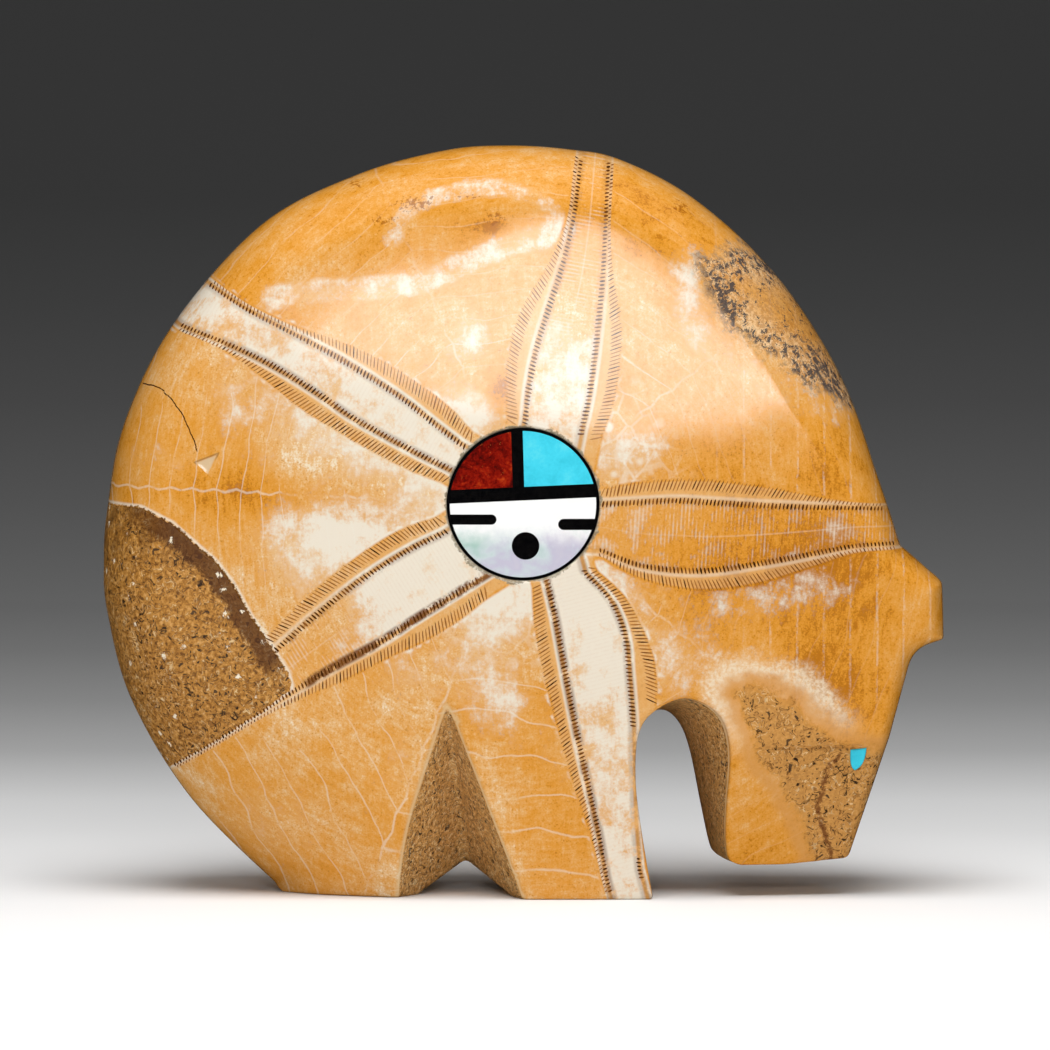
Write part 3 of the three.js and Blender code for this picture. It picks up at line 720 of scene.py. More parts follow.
def gap_to_group(points, group):
    """Distance from each point to the nearest of a group of points."""
    gap2 = np.full(len(points), np.inf)
    for batch in batches(len(group), 200):
        gap2 = np.minimum(gap2, np.min(np.sum((points[:, None, :] - group[batch]) ** 2, axis=2), axis=1))
    return np.sqrt(gap2)


def face_points():
    """Flat points and edges of a face: outline, rows beside it, inlay and eye rings, features, lattice."""
    normals = inward_normals(FACE_LOOP)
    odd = np.arange(len(FACE_LOOP)) % 2 == 1
    loops = [FACE_LOOP]
    for row in RIM_ROWS:
        shifted = FACE_LOOP + normals * row
        crowded = np.linalg.norm(shifted - np.roll(shifted, 1, axis=0), axis=1) < min(0.1, row)
        clear = distance_to(FACE_LOOP, shifted) > row * 0.97
        loops.append(shifted[clear & ~(crowded & odd)])
    rings = [circle(INLAY["recess"] + outside, count, CROWN)
             for outside, count in ((0.3, 130), (CLEARANCE, 160), (-CLEARANCE, 160))]
    rings += [eye_loop(EYE_MARGIN[name]) for name in ("outside", "mouth", "stone")]
    loops += rings
    features = feature_rows()
    kept = inside(FACE_LOOP, features) & ~inside(eye_loop(0.2), features)
    kept &= distance_to(FACE_LOOP, features) > RIM_ROWS[-1] + GAPS["to_features"]
    kept &= distance_to(eye_loop(EYE_MARGIN["mouth"]), features) > GAPS["to_features"]
    features = features[kept]
    lattice = grid_lattice(FACE_LOOP, LATTICE)
    lattice = lattice[inside(FACE_LOOP, lattice)]
    lattice = lattice[distance_to(FACE_LOOP, lattice) > RIM_ROWS[-1] + LATTICE * 0.6]
    lattice = lattice[gap_to_group(lattice, features) > GAPS["features_to_lattice"]]
    lattice = lattice[gap_to_group(lattice, np.vstack(rings)) > GAPS["rings_to_lattice"]]
    return np.vstack([*loops, features, lattice]), loop_edges(loops).tolist()


def raised(flat, depth):
    """Flat points as points of space, with their depth as y."""
    return np.column_stack([flat[:, 0], depth, flat[:, 1]])


def eye_floor():
    """Half thickness at the middle of the eye."""
    return carved_height(np.array([EYE["at"][0]]), np.array([EYE["at"][1] - EYE["drop"] / 2]))[0]


def face_heights(flat):
    """Half thickness at the points of the flat triangulation on the near and the far side: the face
    height, with the floors of the recess and the eye sockets, and the walls' own height on the
    outline. Points on the outline are moved onto its own."""
    gap, place = nearest_on(FACE_LOOP, flat, closed=True)
    column = np.round(place).astype(int) % len(FACE_LOOP)
    on_outline = gap < 1e-4
    far = np.where(on_outline, WALL_HALF[column], face_height(flat))
    flat[on_outline] = FACE_LOOP[column[on_outline]]
    near = np.where(np.hypot(*(flat - CROWN).T) < INLAY["recess"], HALF - INLAY["depth"], far)
    in_socket = inside(eye_loop(EYE_MARGIN["socket"]), flat)
    near[in_socket] = far[in_socket] = eye_floor() - EYE["depth"]
    return near, far


def body_fields(vertices, depth):
    """What the shell's finish reads at each point of the carving. The petal and plate fields and the
    signed distances of the patches are those of the near face, and fade out behind the middle."""
    places = vertices[:, [0, 2]]
    along, inner, outer, cream, stain, middle = petal_fields(places).T
    cream = np.where(outer > -0.3, cream, spots(CREAM_SPOTS, places))
    # Cream streaks, the first two partly a painted highlight along the upper edge of the softbox's reflection
    for amount, half, path in CREAM_AND_HIGHLIGHT_STREAKS:
        away = distance_to(catmull_rom(path, 6), places, closed=False)
        cream = np.maximum(cream, amount * smooth_step(half * 1.3, half * 0.5, away))
    far = smooth_step(0.0, FADE, vertices[:, 1])
    lowered = {key: fall * far for key, fall in LOWERED.items()}
    rear, top, cheek = (signed_distance(patch, places) - lowered["patch"]
                        for patch in (REAR_PATCH, TOP_PATCH, CHEEK_PATCH))
    chip = signed_distance(CHIP, places) - lowered["chip"]
    return {
        "petal": np.column_stack([along, inner - lowered["petal"], outer - lowered["petal"]]),
        "finish": np.column_stack([cream * (1 - far), stain, spots(OCHRE_SPOTS, places) * (1 - far)]),
        "plate": np.column_stack([plate_fields(places), middle]),
        "patch": np.column_stack([rear, top, cheek]),
        "carving": np.column_stack([depth, distance_to(VEIN, places, closed=False), chip]),
    }


def body_mesh():
    """Vertices, triangles, bake map and fields of the carving. Both faces share one flat
    triangulation, raised to the face height on each side, and a wall of rows joins their outlines."""
    flat, triangles = triangulate(*face_points(), FACE_LOOP)
    near, far = face_heights(flat)
    count, ring = len(flat), len(FACE_LOOP)
    turns = np.linspace(-1, 1, WALL_ROWS + 1)[:, None]
    wall = np.vstack([raised(flared(WALL_HALF * t), WALL_HALF * t) for t in turns])
    index = np.arange(len(wall)).reshape(len(turns), ring) + 2 * count
    a, b = index[:-1], index[1:]
    a2, b2 = np.roll(a, -1, axis=1), np.roll(b, -1, axis=1)
    quads = np.concatenate([np.stack([a, a2, b2], axis=2).reshape(-1, 3),
                            np.stack([a, b2, b], axis=2).reshape(-1, 3)])
    vertices = np.vstack([raised(flat, -near), raised(flat, far), wall])
    faces = np.vstack([triangles, triangles[:, ::-1] + count, quads])

    # The bake map has a picture of each face, and a strip for the wall where it has a height
    planar = (flat - (-BAKE_HALF, 0)) / (2 * BAKE_HALF)
    run = np.cumsum(WALL_HALF > 0) / np.sum(WALL_HALF > 0)
    strip = np.stack(np.broadcast_arrays(run, turns), axis=2).reshape(-1, 2)
    uv = np.vstack([part * scale + corner
                    for part, (scale, corner) in zip((planar, planar, strip), BAKE_MAP.values())])

    # Depth below the shell, where the groove and the arch cut through it. The walls lie a little
    # deeper than their distance from the edge, all but the edge itself
    groove_depth = np.maximum(face_height(flat, grooved=False) - far, 0)
    wall_depth = WALL_HALF * (1 - np.abs(turns)) + 0.15
    wall_depth[[0, -1]] = 0
    fields = body_fields(vertices, np.concatenate([groove_depth, groove_depth, wall_depth.ravel()]))

    first, kept_faces, kept = welded(vertices, faces)
    corners = uv[faces[kept]]
    wraps = np.ptp(corners[:, :, 0], axis=1) > 0.5
    corners[wraps, :, 0] += np.where(corners[wraps, :, 0] < 0.5, BAKE_MAP["wall"][0][0], 0)
    fields = {key: values[first] for key, values in fields.items()}
    return cut_saddle(vertices[first]), kept_faces, corners, fields


def cut_saddle(vertices):
    """Pulls points back to the ellipsoid of the saddle: x is at most the ellipsoid's rear surface."""
    at, half = np.array(SADDLE["at"]), np.array(SADDLE["half"])
    inside2 = 1 - ((vertices[:, 1] - at[1]) / half[1]) ** 2 - ((vertices[:, 2] - at[2]) / half[2]) ** 2
    limit = at[0] - half[0] * np.sqrt(np.maximum(inside2, 0))
    near = (inside2 > 0) & (vertices[:, 0] > EAR_REGION)
    vertices[near, 0] = soft_min(vertices[near, 0], limit[near], SADDLE["blend"])
    return vertices


def inset_ring(loop, amount):
    """A loop moved to its left by an amount, with mitred corners."""
    left = left_of(unit(np.roll(loop, -1, axis=0) - loop))
    before = np.roll(left, 1, axis=0)
    mitre = (left + before) / np.maximum(1 + np.sum(left * before, axis=1), 0.5)[:, None]
    return loop + mitre * amount


def let_in_stone(name, loops, material, node, top, floor, bevel, mirror=False):
    """A flat stone in a recess. Its top is a Delaunay mesh over the outline, a ring inset by the bevel
    and a lattice, raised to top(x, z); the floor repeats it at a fixed height, and walls join them.
    The first loop runs counterclockwise, holes run clockwise."""
    rings = loops + [inset_ring(loop, bevel) for loop in loops]
    lattice = grid_lattice(loops[0], STONE_LATTICE["step"])
    kept = inside(loops[0], lattice)
    for loop in loops:
        kept &= distance_to(loop, lattice) > STONE_LATTICE["gap"]
    for hole in loops[1:]:
        kept &= ~inside(hole, lattice)
    flat, triangles = triangulate(np.vstack([*rings, lattice[kept]]), loop_edges(rings).tolist(), loops[0])
    for hole in loops[1:]:
        triangles = triangles[~inside(hole, flat[triangles].mean(axis=1))]
    height = top(*flat.T)
    height[:sum(len(loop) for loop in loops)] -= bevel
    count = len(flat)
    side = 1 if mirror else -1
    vertices = np.vstack([raised(flat, side * height), raised(flat, np.full(count, side * floor))])
    i, j = loop_edges(loops).T
    faces = np.vstack([triangles, triangles[:, ::-1] + count,
                       np.column_stack([i, i + count, j + count]), np.column_stack([i, j + count, j])])
    if mirror:
        faces = faces[:, ::-1]
    make_piece(name, vertices, faces, material, node, smooth=False)


# Round inlay, worked out in u and w from its centre

STONE_RADIUS = INLAY["radius"] - INLAY["rim"]


def to_circle(point, way):
    """Where a ray from a point inside the stones' circle meets it."""
    b = point @ way
    return point + way * (-b + math.sqrt(b * b - point @ point + STONE_RADIUS ** 2))


def crossing(p, d, q, e):
    """Where two lines, each a point and a direction, meet."""
    share = np.linalg.solve(np.stack([d, -e], axis=1), q - p)
    return p + d * share[0]


def rim_arc(start, end, step=0.18):
    """Points of the counterclockwise arc of the stones' circle from start to end, without its ends."""
    first = math.atan2(start[1], start[0])
    sweep = (math.atan2(end[1], end[0]) - first) % (2 * math.pi)
    radius = np.linalg.norm(start)
    turn = first + np.linspace(0, sweep, max(int(sweep * radius / step), 3))[1:-1]
    return np.column_stack([radius * np.cos(turn), radius * np.sin(turn)])


def slit_edges(slit):
    """A slit's lower and upper corner on the circle, and its rounded tip from lower to upper edge."""
    outward = math.copysign(1, slit["tip"])
    half = slit["width"] / 2
    low, high = (np.array([outward * math.sqrt(STONE_RADIUS ** 2 - w * w), w])
                 for w in (slit["w"] - half, slit["w"] + half))
    turn = np.radians(np.linspace(-90, 90, 13))
    centre = (slit["tip"] + outward * half, slit["w"])
    return low, high, centre + half * np.column_stack([-outward * np.cos(turn), np.sin(turn)])


def inlay_loops():
    """Outlines of the inlay's stones by name."""
    bar_way, up_way = turned(CROSSBAR["tilt"]), turned(90 + UPRIGHT["lean"])
    middle, half_bar = np.array([0, CROSSBAR["w"]]), left_of(bar_way) * CROSSBAR["width"] / 2
    (top_left, top_right), (low_left, low_right) = (
        [to_circle(middle + side, way) for way in (-bar_way, bar_way)] for side in (half_bar, -half_bar))
    half_post = left_of(up_way) * UPRIGHT["width"] / 2
    posts = [np.array([UPRIGHT["u"], CROSSBAR["w"]]) + side for side in (half_post, -half_post)]
    feet = [crossing(post, up_way, middle + half_bar, bar_way) for post in posts]
    heads = [to_circle(post, up_way) for post in posts]
    rear_low, rear_high, rear_tip = slit_edges(REAR_SLIT)
    front_low, front_high, front_tip = slit_edges(FRONT_SLIT)
    mouth = circle(MOUTH["radius"], 48, MOUTH["at"])
    outlines = {
        "red_stone": [feet[0], heads[0], rim_arc(heads[0], top_left), top_left],
        "turquoise_stone": [feet[1], top_right, rim_arc(top_right, heads[1]), heads[1]],
        "upright_bar": [feet[0], feet[1], heads[1], rim_arc(heads[1], heads[0]), heads[0]],
        "crossbar": [low_left, low_right, rim_arc(low_right, top_right), top_right, top_left,
                     rim_arc(top_left, low_left)],
        "shell_face": [low_left, rim_arc(low_left, rear_high), rear_high, rear_tip[::-1], rear_low,
                       rim_arc(rear_low, front_low), front_low, front_tip, front_high,
                       rim_arc(front_high, low_right), low_right],
        "rear_slit": [rear_low, rear_tip, rear_high, rim_arc(rear_high, rear_low)],
        "front_slit": [front_low, rim_arc(front_low, front_high), front_high, front_tip[::-1]],
        "mouth": [mouth],
        "rim": [circle(INLAY["radius"], 160)],
    }
    holes = {"shell_face": [mouth[::-1]], "rim": [circle(STONE_RADIUS, 160)[::-1]]}
    return {name: [np.vstack(parts), *holes.get(name, [])] for name, parts in outlines.items()}


# Pores of the petals, and the crack in the rump: dark slivers let into the polished surface

PORE_LIFT = {"ring": 0.012, "top": 0.015, "bottom": -0.09}
PORE_SIDES = 8
# Nearest that a pore comes to the edge of the face, and to the middle of the disc
PORE_LIMITS = {"edge": 0.8, "disc": 8.3}
# Pores of the outer and the inner rows: their lean from square to the row, their length as a share
# of the gap between the two rows plus a fixed part, its limits, their width, how far out they stand
# as a share of the length, their shade from 0 for dark to 1, and how many of them are dark
OUTER_PORES = {"lean": 0.42, "share": 0.75, "plus": 0.0, "limits": (0.34, 1.45), "width": 0.14,
               "out": 0.25, "shade": 0.7, "dark": 0.1}
INNER_PORES = {"lean": 0.2, "share": 0.25, "plus": 0.35, "limits": (0.36, 0.72), "width": 0.2,
               "out": 0.0, "shade": 0.34, "dark": 0.0}


def petal_pores(petal, seed):
    """Centres, long directions, lengths, widths and shades of a petal's pores along its four rows."""
    random = np.random.default_rng(seed)
    along = turned(petal["turn"])
    left = left_of(along)
    found = []
    for row, partner in enumerate((1, 0, 3, 2)):
        pore, side = OUTER_PORES if row in (0, 3) else INNER_PORES, 1 if row > 1 else -1
        fine = np.linspace(STATIONS[0] - 0.2, petal["end"], 600)
        run = run_of(np.column_stack([fine, row_offset(petal, row, fine)]))
        a = np.interp(np.arange(0, run[-1], PORE_PITCH), run, fine)
        b = row_offset(petal, row, a)
        slope = (row_offset(petal, row, a + 0.1) - row_offset(petal, row, a - 0.1)) / 0.2
        tangent = (along + left * slope[:, None]) / np.sqrt(1 + slope ** 2)[:, None]
        gap = np.abs(b - row_offset(petal, partner, a))
        length = np.clip(pore["plus"] + gap * pore["share"], *pore["limits"])
        way = unit(left_of(tangent) * side + tangent * pore["lean"])
        centre = CROWN + a[:, None] * along + b[:, None] * left - way * length[:, None] * pore["out"]
        wobble = random.normal(0, 1, (len(a), 3))
        shade = np.where(random.random(len(a)) < pore["dark"], 0.2, pore["shade"] + 0.12 * wobble[:, 1])
        found.append(np.column_stack([centre, way, length * (1 + 0.08 * wobble[:, 2]),
                                      pore["width"] * (1 + 0.12 * wobble[:, 0]), shade]))
    return np.vstack(found)


def crack_slivers():
    """The crack in the rump: slivers end over end along a wandering path, in rows like the pores'."""
    path = catmull_rom(CRACK, 10)
    run = run_of(path)
    centre = sampled(path, run, np.arange(0.2, run[-1], 0.45))
    way = unit(np.gradient(centre, axis=0))
    wobble = np.random.default_rng(7).normal(0, 1, (len(way), 3))
    return np.column_stack([centre + left_of(way) * 0.05 * wobble[:, :1], way, 0.62 + 0.08 * wobble[:, 1],
                            np.full(len(way), 0.13), 0.25 + 0.1 * wobble[:, 2]])


def surface_frame(points):
    """Height of the near face at flat points and the outward unit normals there, by small differences."""
    step = 0.05
    east, north = ((face_height(points + way) - face_height(points - way)) / (2 * step)
                   for way in ((step, 0), (0, step)))
    return face_height(points), unit(np.column_stack([-east, -np.ones(len(points)), -north]))


def slivers(rows):
    """Closed lenses of ten points: an ellipse of eight just above the face, a point over it and a
    point below. Rows hold centre, direction, length, width and shade."""
    turn = np.linspace(0, 2 * math.pi, PORE_SIDES, endpoint=False)[:, None]
    centre, way = rows[:, None, :2], rows[:, None, 2:4]
    length, width, shade = rows[:, 4, None, None], rows[:, 5, None, None], rows[:, 6]
    ring = centre + way * (np.cos(turn) * length / 2) + left_of(way) * (np.sin(turn) * width / 2)
    flat = np.concatenate([ring, centre, centre], axis=1).reshape(-1, 2)
    height, normal = surface_frame(flat)
    lift = np.array([PORE_LIFT["ring"]] * PORE_SIDES + [PORE_LIFT["top"], PORE_LIFT["bottom"]])
    points = raised(flat, -height) + normal * np.tile(lift, len(rows))[:, None]
    i = np.arange(PORE_SIDES)
    j, over = np.roll(i, -1), np.full(PORE_SIDES, PORE_SIDES)
    fan = np.vstack([np.column_stack([i, j, over]), np.column_stack([j, i, over + 1])])
    faces = (fan + (np.arange(len(rows)) * len(lift))[:, None, None]).reshape(-1, 3)
    return points, faces, np.repeat(shade, len(lift))


# Shader maths

class Value:
    """A number socket with the usual operators; each adds a Math node."""

    def __init__(self, paint, socket):
        self.paint, self.socket = paint, socket

    def math(self, operation, *values):
        """The outcome of a Math node on this number and others."""
        return self.paint.value("ShaderNodeMath", {"operation": operation}, dict(enumerate((self, *values))))

    def __add__(self, other):
        return self.math("ADD", other)

    __radd__ = __add__

    def __mul__(self, other):
        return self.math("MULTIPLY", other)

    __rmul__ = __mul__

    def __sub__(self, other):
        return self.math("SUBTRACT", other)

    def __rsub__(self, other):
        return self.paint.value("ShaderNodeMath", {"operation": "SUBTRACT"}, {0: other, 1: self})

    def __truediv__(self, other):
        return self.math("DIVIDE", other)

    def above(self, low, high):
        """0 below low, 1 above high, smooth between."""
        settings = {"interpolation_type": "SMOOTHSTEP"}
        return self.paint.value("ShaderNodeMapRange", settings, {0: self, 1: low, 2: high, 3: 0.0, 4: 1.0})

    def below(self, low, high):
        """1 below low, 0 above high, smooth between."""
        return 1 - self.above(low, high)

    def band(self, centre, half):
        """1 at the centre, falling to 0 at half away."""
        return (self - centre).math("ABSOLUTE").below(0.0, half)

    def least(self, other):
        """The smaller of two numbers."""
        return self.math("MINIMUM", other)

    def most(self, other):
        """The larger of two numbers."""
        return self.math("MAXIMUM", other)


class Paint:
    """A material's nodes: numbers are Value objects, colours and vectors plain sockets."""

    def __init__(self, name, **constants):
        self.material = bpy.data.materials.new(name)
        self.material.use_nodes = True
        self.tree = self.material.node_tree
        self.shader = next(n for n in self.tree.nodes if n.type == "BSDF_PRINCIPLED")
        for key, value in constants.items():
            self.shader.inputs[key.replace("_", " ")].default_value = value
        metres = self.node("ShaderNodeTexCoord").outputs["Object"]
        self.place = self.node("ShaderNodeVectorMath", {"operation": "SCALE"},
                               {"Vector": metres, "Scale": 1 / MM}).outputs[0]

    def node(self, kind, settings=None, inputs=None):
        """A new node with its settings, or a ramp's stops, and the values or links of its sockets."""
        node = self.tree.nodes.new(kind)
        for key, value in (settings or {}).items():
            if key == "stops":
                ramp = node.color_ramp
                for i, (position, tone) in enumerate(value):
                    stop = ramp.elements[i] if i < len(ramp.elements) else ramp.elements.new(position)
                    stop.position, stop.color = position, tone
            else:
                setattr(node, key, value)
        for key, value in (inputs or {}).items():
            if isinstance(value, Value):
                value = value.socket
            if isinstance(value, bpy.types.NodeSocket):
                self.tree.links.new(value, node.inputs[key])
            else:
                node.inputs[key].default_value = value
        return node

    def value(self, kind, settings=None, inputs=None):
        """The number that a new node gives."""
        return Value(self, self.node(kind, settings, inputs).outputs[0])

    def vector(self, operation, amount):
        """The place on the piece, stretched or moved."""
        settings = {"operation": operation}
        return self.node("ShaderNodeVectorMath", settings, {0: self.place, 1: amount}).outputs[0]

    def noise(self, scale, detail=3.0, rough=0.5, distortion=0.0, vector=None):
        """Smooth noise of features 1 / scale millimetres across."""
        return self.value("ShaderNodeTexNoise", {}, {
            "Vector": vector or self.place, "Scale": scale, "Detail": detail, "Roughness": rough,
            "Distortion": distortion})

    def cells(self, scale, feature="F1"):
        """Distance to the nearest of scattered points, or to the edge between their cells."""
        inputs = {"Vector": self.place, "Scale": scale}
        return self.value("ShaderNodeTexVoronoi", {"feature": feature}, inputs)

    def mix(self, factor, a, b):
        """Colour a, changed to b where the factor is 1."""
        return self.node("ShaderNodeMix", {"data_type": "RGBA", "clamp_factor": True},
                         {0: factor, 6: linear(a), 7: linear(b)}).outputs[2]

    def layers(self, base, *layers):
        """A colour with others laid over it in turn, each as far as its mask says."""
        for mask, tone in layers:
            base = self.mix(mask, base, tone)
        return base

    def ramp(self, factor, *stops):
        """Colours by the factor, in straight lines between (factor, colour) stops."""
        stops = [(place, linear(tone)) for place, tone in stops]
        return self.node("ShaderNodeValToRGB", {"stops": stops}, {0: factor}).outputs[0]

    def parts(self, vector):
        """The three numbers of a vector."""
        node = self.node("ShaderNodeSeparateXYZ", {}, {0: vector})
        return [Value(self, node.outputs[i]) for i in range(3)]

    def attribute(self, name, output="Vector"):
        """The value that the mesh carries under a name."""
        return self.node("ShaderNodeAttribute", {"attribute_name": name}).outputs[output]

    def bump(self, height, distance, strength=1.0):
        """Normal from a height in millimetres."""
        return self.node("ShaderNodeBump", {}, {
            "Height": height, "Distance": distance * MM, "Strength": strength}).outputs[0]

    def finish(self, **links):
        """The material, with its varying inputs linked to the shader."""
        for key, value in links.items():
            socket = value.socket if isinstance(value, Value) else value
            self.tree.links.new(socket, self.shader.inputs[key.replace("_", " ")])
        return self.material


def linear(tone):
    """A linear colour from display values of 0 to 255. With v as their share of 255 it is v / 12.92
    near black, otherwise ((v + 0.055) / 1.055)^2.4. A socket is left as it is."""
    if not isinstance(tone, tuple):
        return tone
    shares = (v / 255 for v in tone)
    return (*(v / 12.92 if v <= 0.04045 else ((v + 0.055) / 1.055) ** 2.4 for v in shares), 1.0)


# Finishes

CREAM, PALE_ORANGE = (232, 225, 209), (224, 180, 124)


def rock_strokes(paint, grain):
    """The rock inside the fossil, as a function of how much of a tint its ground has: short strokes,
    dark, pale and brown, where thin bands of one noise are broken up by another."""
    swirl = paint.noise(0.95, 1, 0.5, 1.0)
    drift = paint.noise(1.15, 1, 0.5, 1.0, paint.vector("ADD", (31.0, 17.0, 5.0)))
    strokes = ((swirl.band(0.38, 0.05) * drift.below(0.44, 0.5) * 0.8, (88, 50, 20)),
               (swirl.band(0.5, 0.055) * drift.above(0.52, 0.58), (44, 31, 24)),
               (drift.band(0.47, 0.045) * swirl.above(0.54, 0.6) * 0.9, (226, 198, 148)),
               (swirl.band(0.6, 0.045) * drift.above(0.43, 0.49) * 0.65, (112, 70, 34)),
               (drift.below(0.27, 0.3) * 0.85, (46, 38, 36)))
    ground = paint.ramp(grain, (0.3, (122, 76, 26)), (0.45, (168, 114, 46)), (0.57, (194, 138, 64)),
                        (0.72, (216, 166, 100)))
    return lambda lift, tint: paint.layers(ground, (lift, tint), *strokes)


def spots_mask(x, z, table):
    """Largest of the table's rounded spots, amount * (1 - the squared offsets over the reaches), or 0
    outside them all."""
    total = None
    for at_x, at_z, reach_x, reach_z, amount in table:
        out2 = ((x - at_x) / reach_x).math("POWER", 2.0) + ((z - at_z) / reach_z).math("POWER", 2.0)
        spot = (1 - out2) * amount
        total = spot if total is None else total.most(spot)
    return total.most(0.0)


def shell_material():
    """Polished fossil shell: mottled ochre and cream, seams between its plates, petals, patches of
    the rock inside, and rock behind a pale line where the carving cuts through the shell."""
    paint = Paint("fossil_shell", IOR=1.42)
    x, y, z = paint.parts(paint.place)
    along, inner, outer = paint.parts(paint.attribute("petal"))
    cream_and_highlight_level, stain, tone = paint.parts(paint.attribute("finish"))
    across, aside, middle = paint.parts(paint.attribute("plate"))
    rear, top, cheek = paint.parts(paint.attribute("patch"))
    depth, vein, chip = paint.parts(paint.attribute("carving"))
    east, up = x - CROWN[0], z - CROWN[1]
    reach = (east * east + up * up).math("SQRT")
    cloud = paint.noise(0.1, 2, 0.5) - 0.5
    mottle = paint.noise(0.45, 4, 0.62) - 0.5
    grain = paint.noise(2.5, 3, 0.68) - 0.5
    dust = paint.noise(5.5, 1, 0.5) - 0.5
    rings = paint.node("ShaderNodeCombineXYZ", {}, {0: reach * 2.4, 1: east / reach * 15, 2: up / reach * 15})
    growth = paint.noise(1.0, 2, 0.55, 0.0, rings.outputs[0]) - 0.5
    streaks = paint.noise(1.6, 3, 0.6, 0.0, paint.vector("MULTIPLY", (1.5, 1.0, 0.22))) - 0.5

    # Ochre ground, deeper on the neck, along the back and on the rump
    deeper = (x.above(8, 18) * z.below(46, 54)).most(z.above(63, 70) * 0.5).most(x.below(-32, -24) * 0.3)
    level = tone + 0.42 + cloud * 0.85 + mottle * 0.8 + grain * 0.55 + growth * 0.5 + dust * 0.5
    shell = paint.ramp(level + streaks * 0.45 + deeper * 0.17,
                       (0.0, (234, 216, 186)), (0.2, (225, 182, 128)), (0.4, (221, 163, 91)),
                       (0.6, (219, 152, 64)), (0.8, (212, 141, 42)), (1.0, (182, 113, 28)))

    # Seams between plates, faint upright lines on the head, and pale plate centres near the disc
    between = outer.below(-0.5, -0.15)
    seam = ((across + mottle * 0.12 + cloud * 1.3).math("FRACT") - 0.5).math("ABSOLUTE")
    zigzag = aside + (across.math("FRACT") - 0.5).math("ABSOLUTE") * 0.6 + mottle * 0.6 - 0.15
    seams = seam.above(0.455, 0.5).most(zigzag.math("ABSOLUTE").below(0.03, 0.2)) * between
    seams = seams * (cloud + growth * 0.5).above(-0.16, 0.08) * reach.above(13, 18)
    seams = seams * (1 - x.above(12, 20) * 0.8) * (1 - z.above(56, 62) * 0.55)
    upright = (x * 2.25 + mottle * 0.8).math("SINE").above(0.93, 1.0) * x.above(16, 26) * z.above(18, 24)
    upright = upright * (streaks + grain).above(-0.15, 0.2) * between
    around = between * reach.below(12, 19) * (x.above(2, 6) * z.above(40, 44)).most(z.below(30, 35) * 0.7)
    plates = paint.cells(0.4).below(0.14, 0.3)
    net = paint.cells(0.4, "DISTANCE_TO_EDGE").below(0.02, 0.07)
    shell = paint.layers(shell, (dust.above(0.1, 0.2) * grain.above(0.0, 0.1) * 0.4, (150, 92, 34)),
                         (seams * 0.42, CREAM), (upright * 0.3, CREAM),
                         ((plates * 0.8 + net * 0.35) * around, CREAM))

    # Petals: pale orange between the pore rows, a pale line outside the inner row, cream inside
    fill = inner.above(-0.05, 0.25)
    petal_band = outer.above(-0.15, 0.1) * inner.below(-0.1, 0.15)
    pale_line = inner.band(-0.5, 0.34) * petal_band * (cream_and_highlight_level * 0.9 + 0.2).least(0.95)
    uneven = mottle * 1.9 + grain * 0.8 + cloud * 0.8 + dust * 0.3 + streaks * 0.5
    # The cream level also holds streaks that are partly a painted highlight along the upper edge of the
    # softbox's reflection
    patchy = cream_and_highlight_level + uneven * (cream_and_highlight_level * 0.8 + 0.42).least(1.0)
    patchy = patchy + between * reach.below(8, 17) * 0.22
    creamy = patchy.above(0.2, 0.85) * fill.most(between)
    shell = paint.layers(shell, (petal_band * 0.45, PALE_ORANGE), (pale_line, CREAM), (creamy * 0.92, CREAM))

    # Fine lines across the petals at the pores' pitch, a line along their middle, stain by the rows
    lines = (along * (2 * math.pi / PORE_PITCH)).math("SINE")
    tan_lines = fill * lines.above(-0.2, 1.0) * grain.above(-0.2, 0.1)
    cream_lines = fill * lines.above(-0.3, 0.8) * (mottle + growth * 0.5).above(-0.06, 0.12)
    cream_lines = cream_lines * cream_and_highlight_level.below(0.35, 0.5)
    middle_line = fill * middle.math("ABSOLUTE").below(0.03, 0.14) * cream_and_highlight_level.below(0.1, 0.4)
    brown = inner.math("ABSOLUTE").below(0.3, 0.7) * stain * rear.below(-2.0, -0.8)
    brown = brown * (mottle + grain * 0.5).above(-0.14, 0.04)
    shell = paint.layers(shell, (tan_lines * 0.07, (196, 146, 88)), (cream_lines * 0.3, CREAM),
                         (middle_line * 0.2, CREAM), (brown * 0.9, (112, 66, 32)))

    # Bare rock on the rump, with a dark band along its upper edge and a pale shell edge outside
    rock_over = rock_strokes(paint, grain + 0.5)
    rear_edge = rear + grain * 1.2
    above_row = z - (x * 0.68 + 38.6)
    darker = z.above(33, 39) * mottle.above(-0.06, 0.08)
    band = (rear_edge + mottle * 2.2).below(1.7, 2.5) * above_row.above(1.6, 4.2) * x.above(-43, -38)
    small_shells = (paint.cells(0.42) + grain * 0.6).below(0.07, 0.14) * growth.above(-0.1, -0.02)
    rear_rock = paint.layers(rock_over(0.0, CREAM), (darker * 0.5, (84, 50, 20)), (band * 0.8, (84, 46, 18)),
                             (small_shells, (240, 228, 204)))
    shell = paint.layers(shell, (rear.band(-0.1, 0.3) * 0.7, CREAM), (rear_edge.above(-0.05, 0.1), rear_rock))

    # Black dendrites on the shoulder, and rust specks near the top
    top_mask = (top + mottle * 5).above(-0.6, 1.4)
    twigs = paint.noise(1.25, 5, 0.8, 0.3)
    deep = top.above(1.5, 5.0)
    ground = paint.layers((232, 204, 164), (deep, (206, 150, 80)),
                          (grain.below(-0.08, 0.06) * 0.8, (156, 100, 46)))
    ink = top_mask * (twigs + cloud * 0.3 - deep * 0.05).above(0.49, 0.55)
    rust = (spots_mask(x, z, RUST_SPOTS) + mottle * 1.3 + grain * 2.6).above(0.8, 1.1)
    shell = paint.layers(shell, (top_mask * 0.65, ground), (ink * 0.9, (50, 52, 60)),
                         (rust * 0.7, (150, 84, 20)))

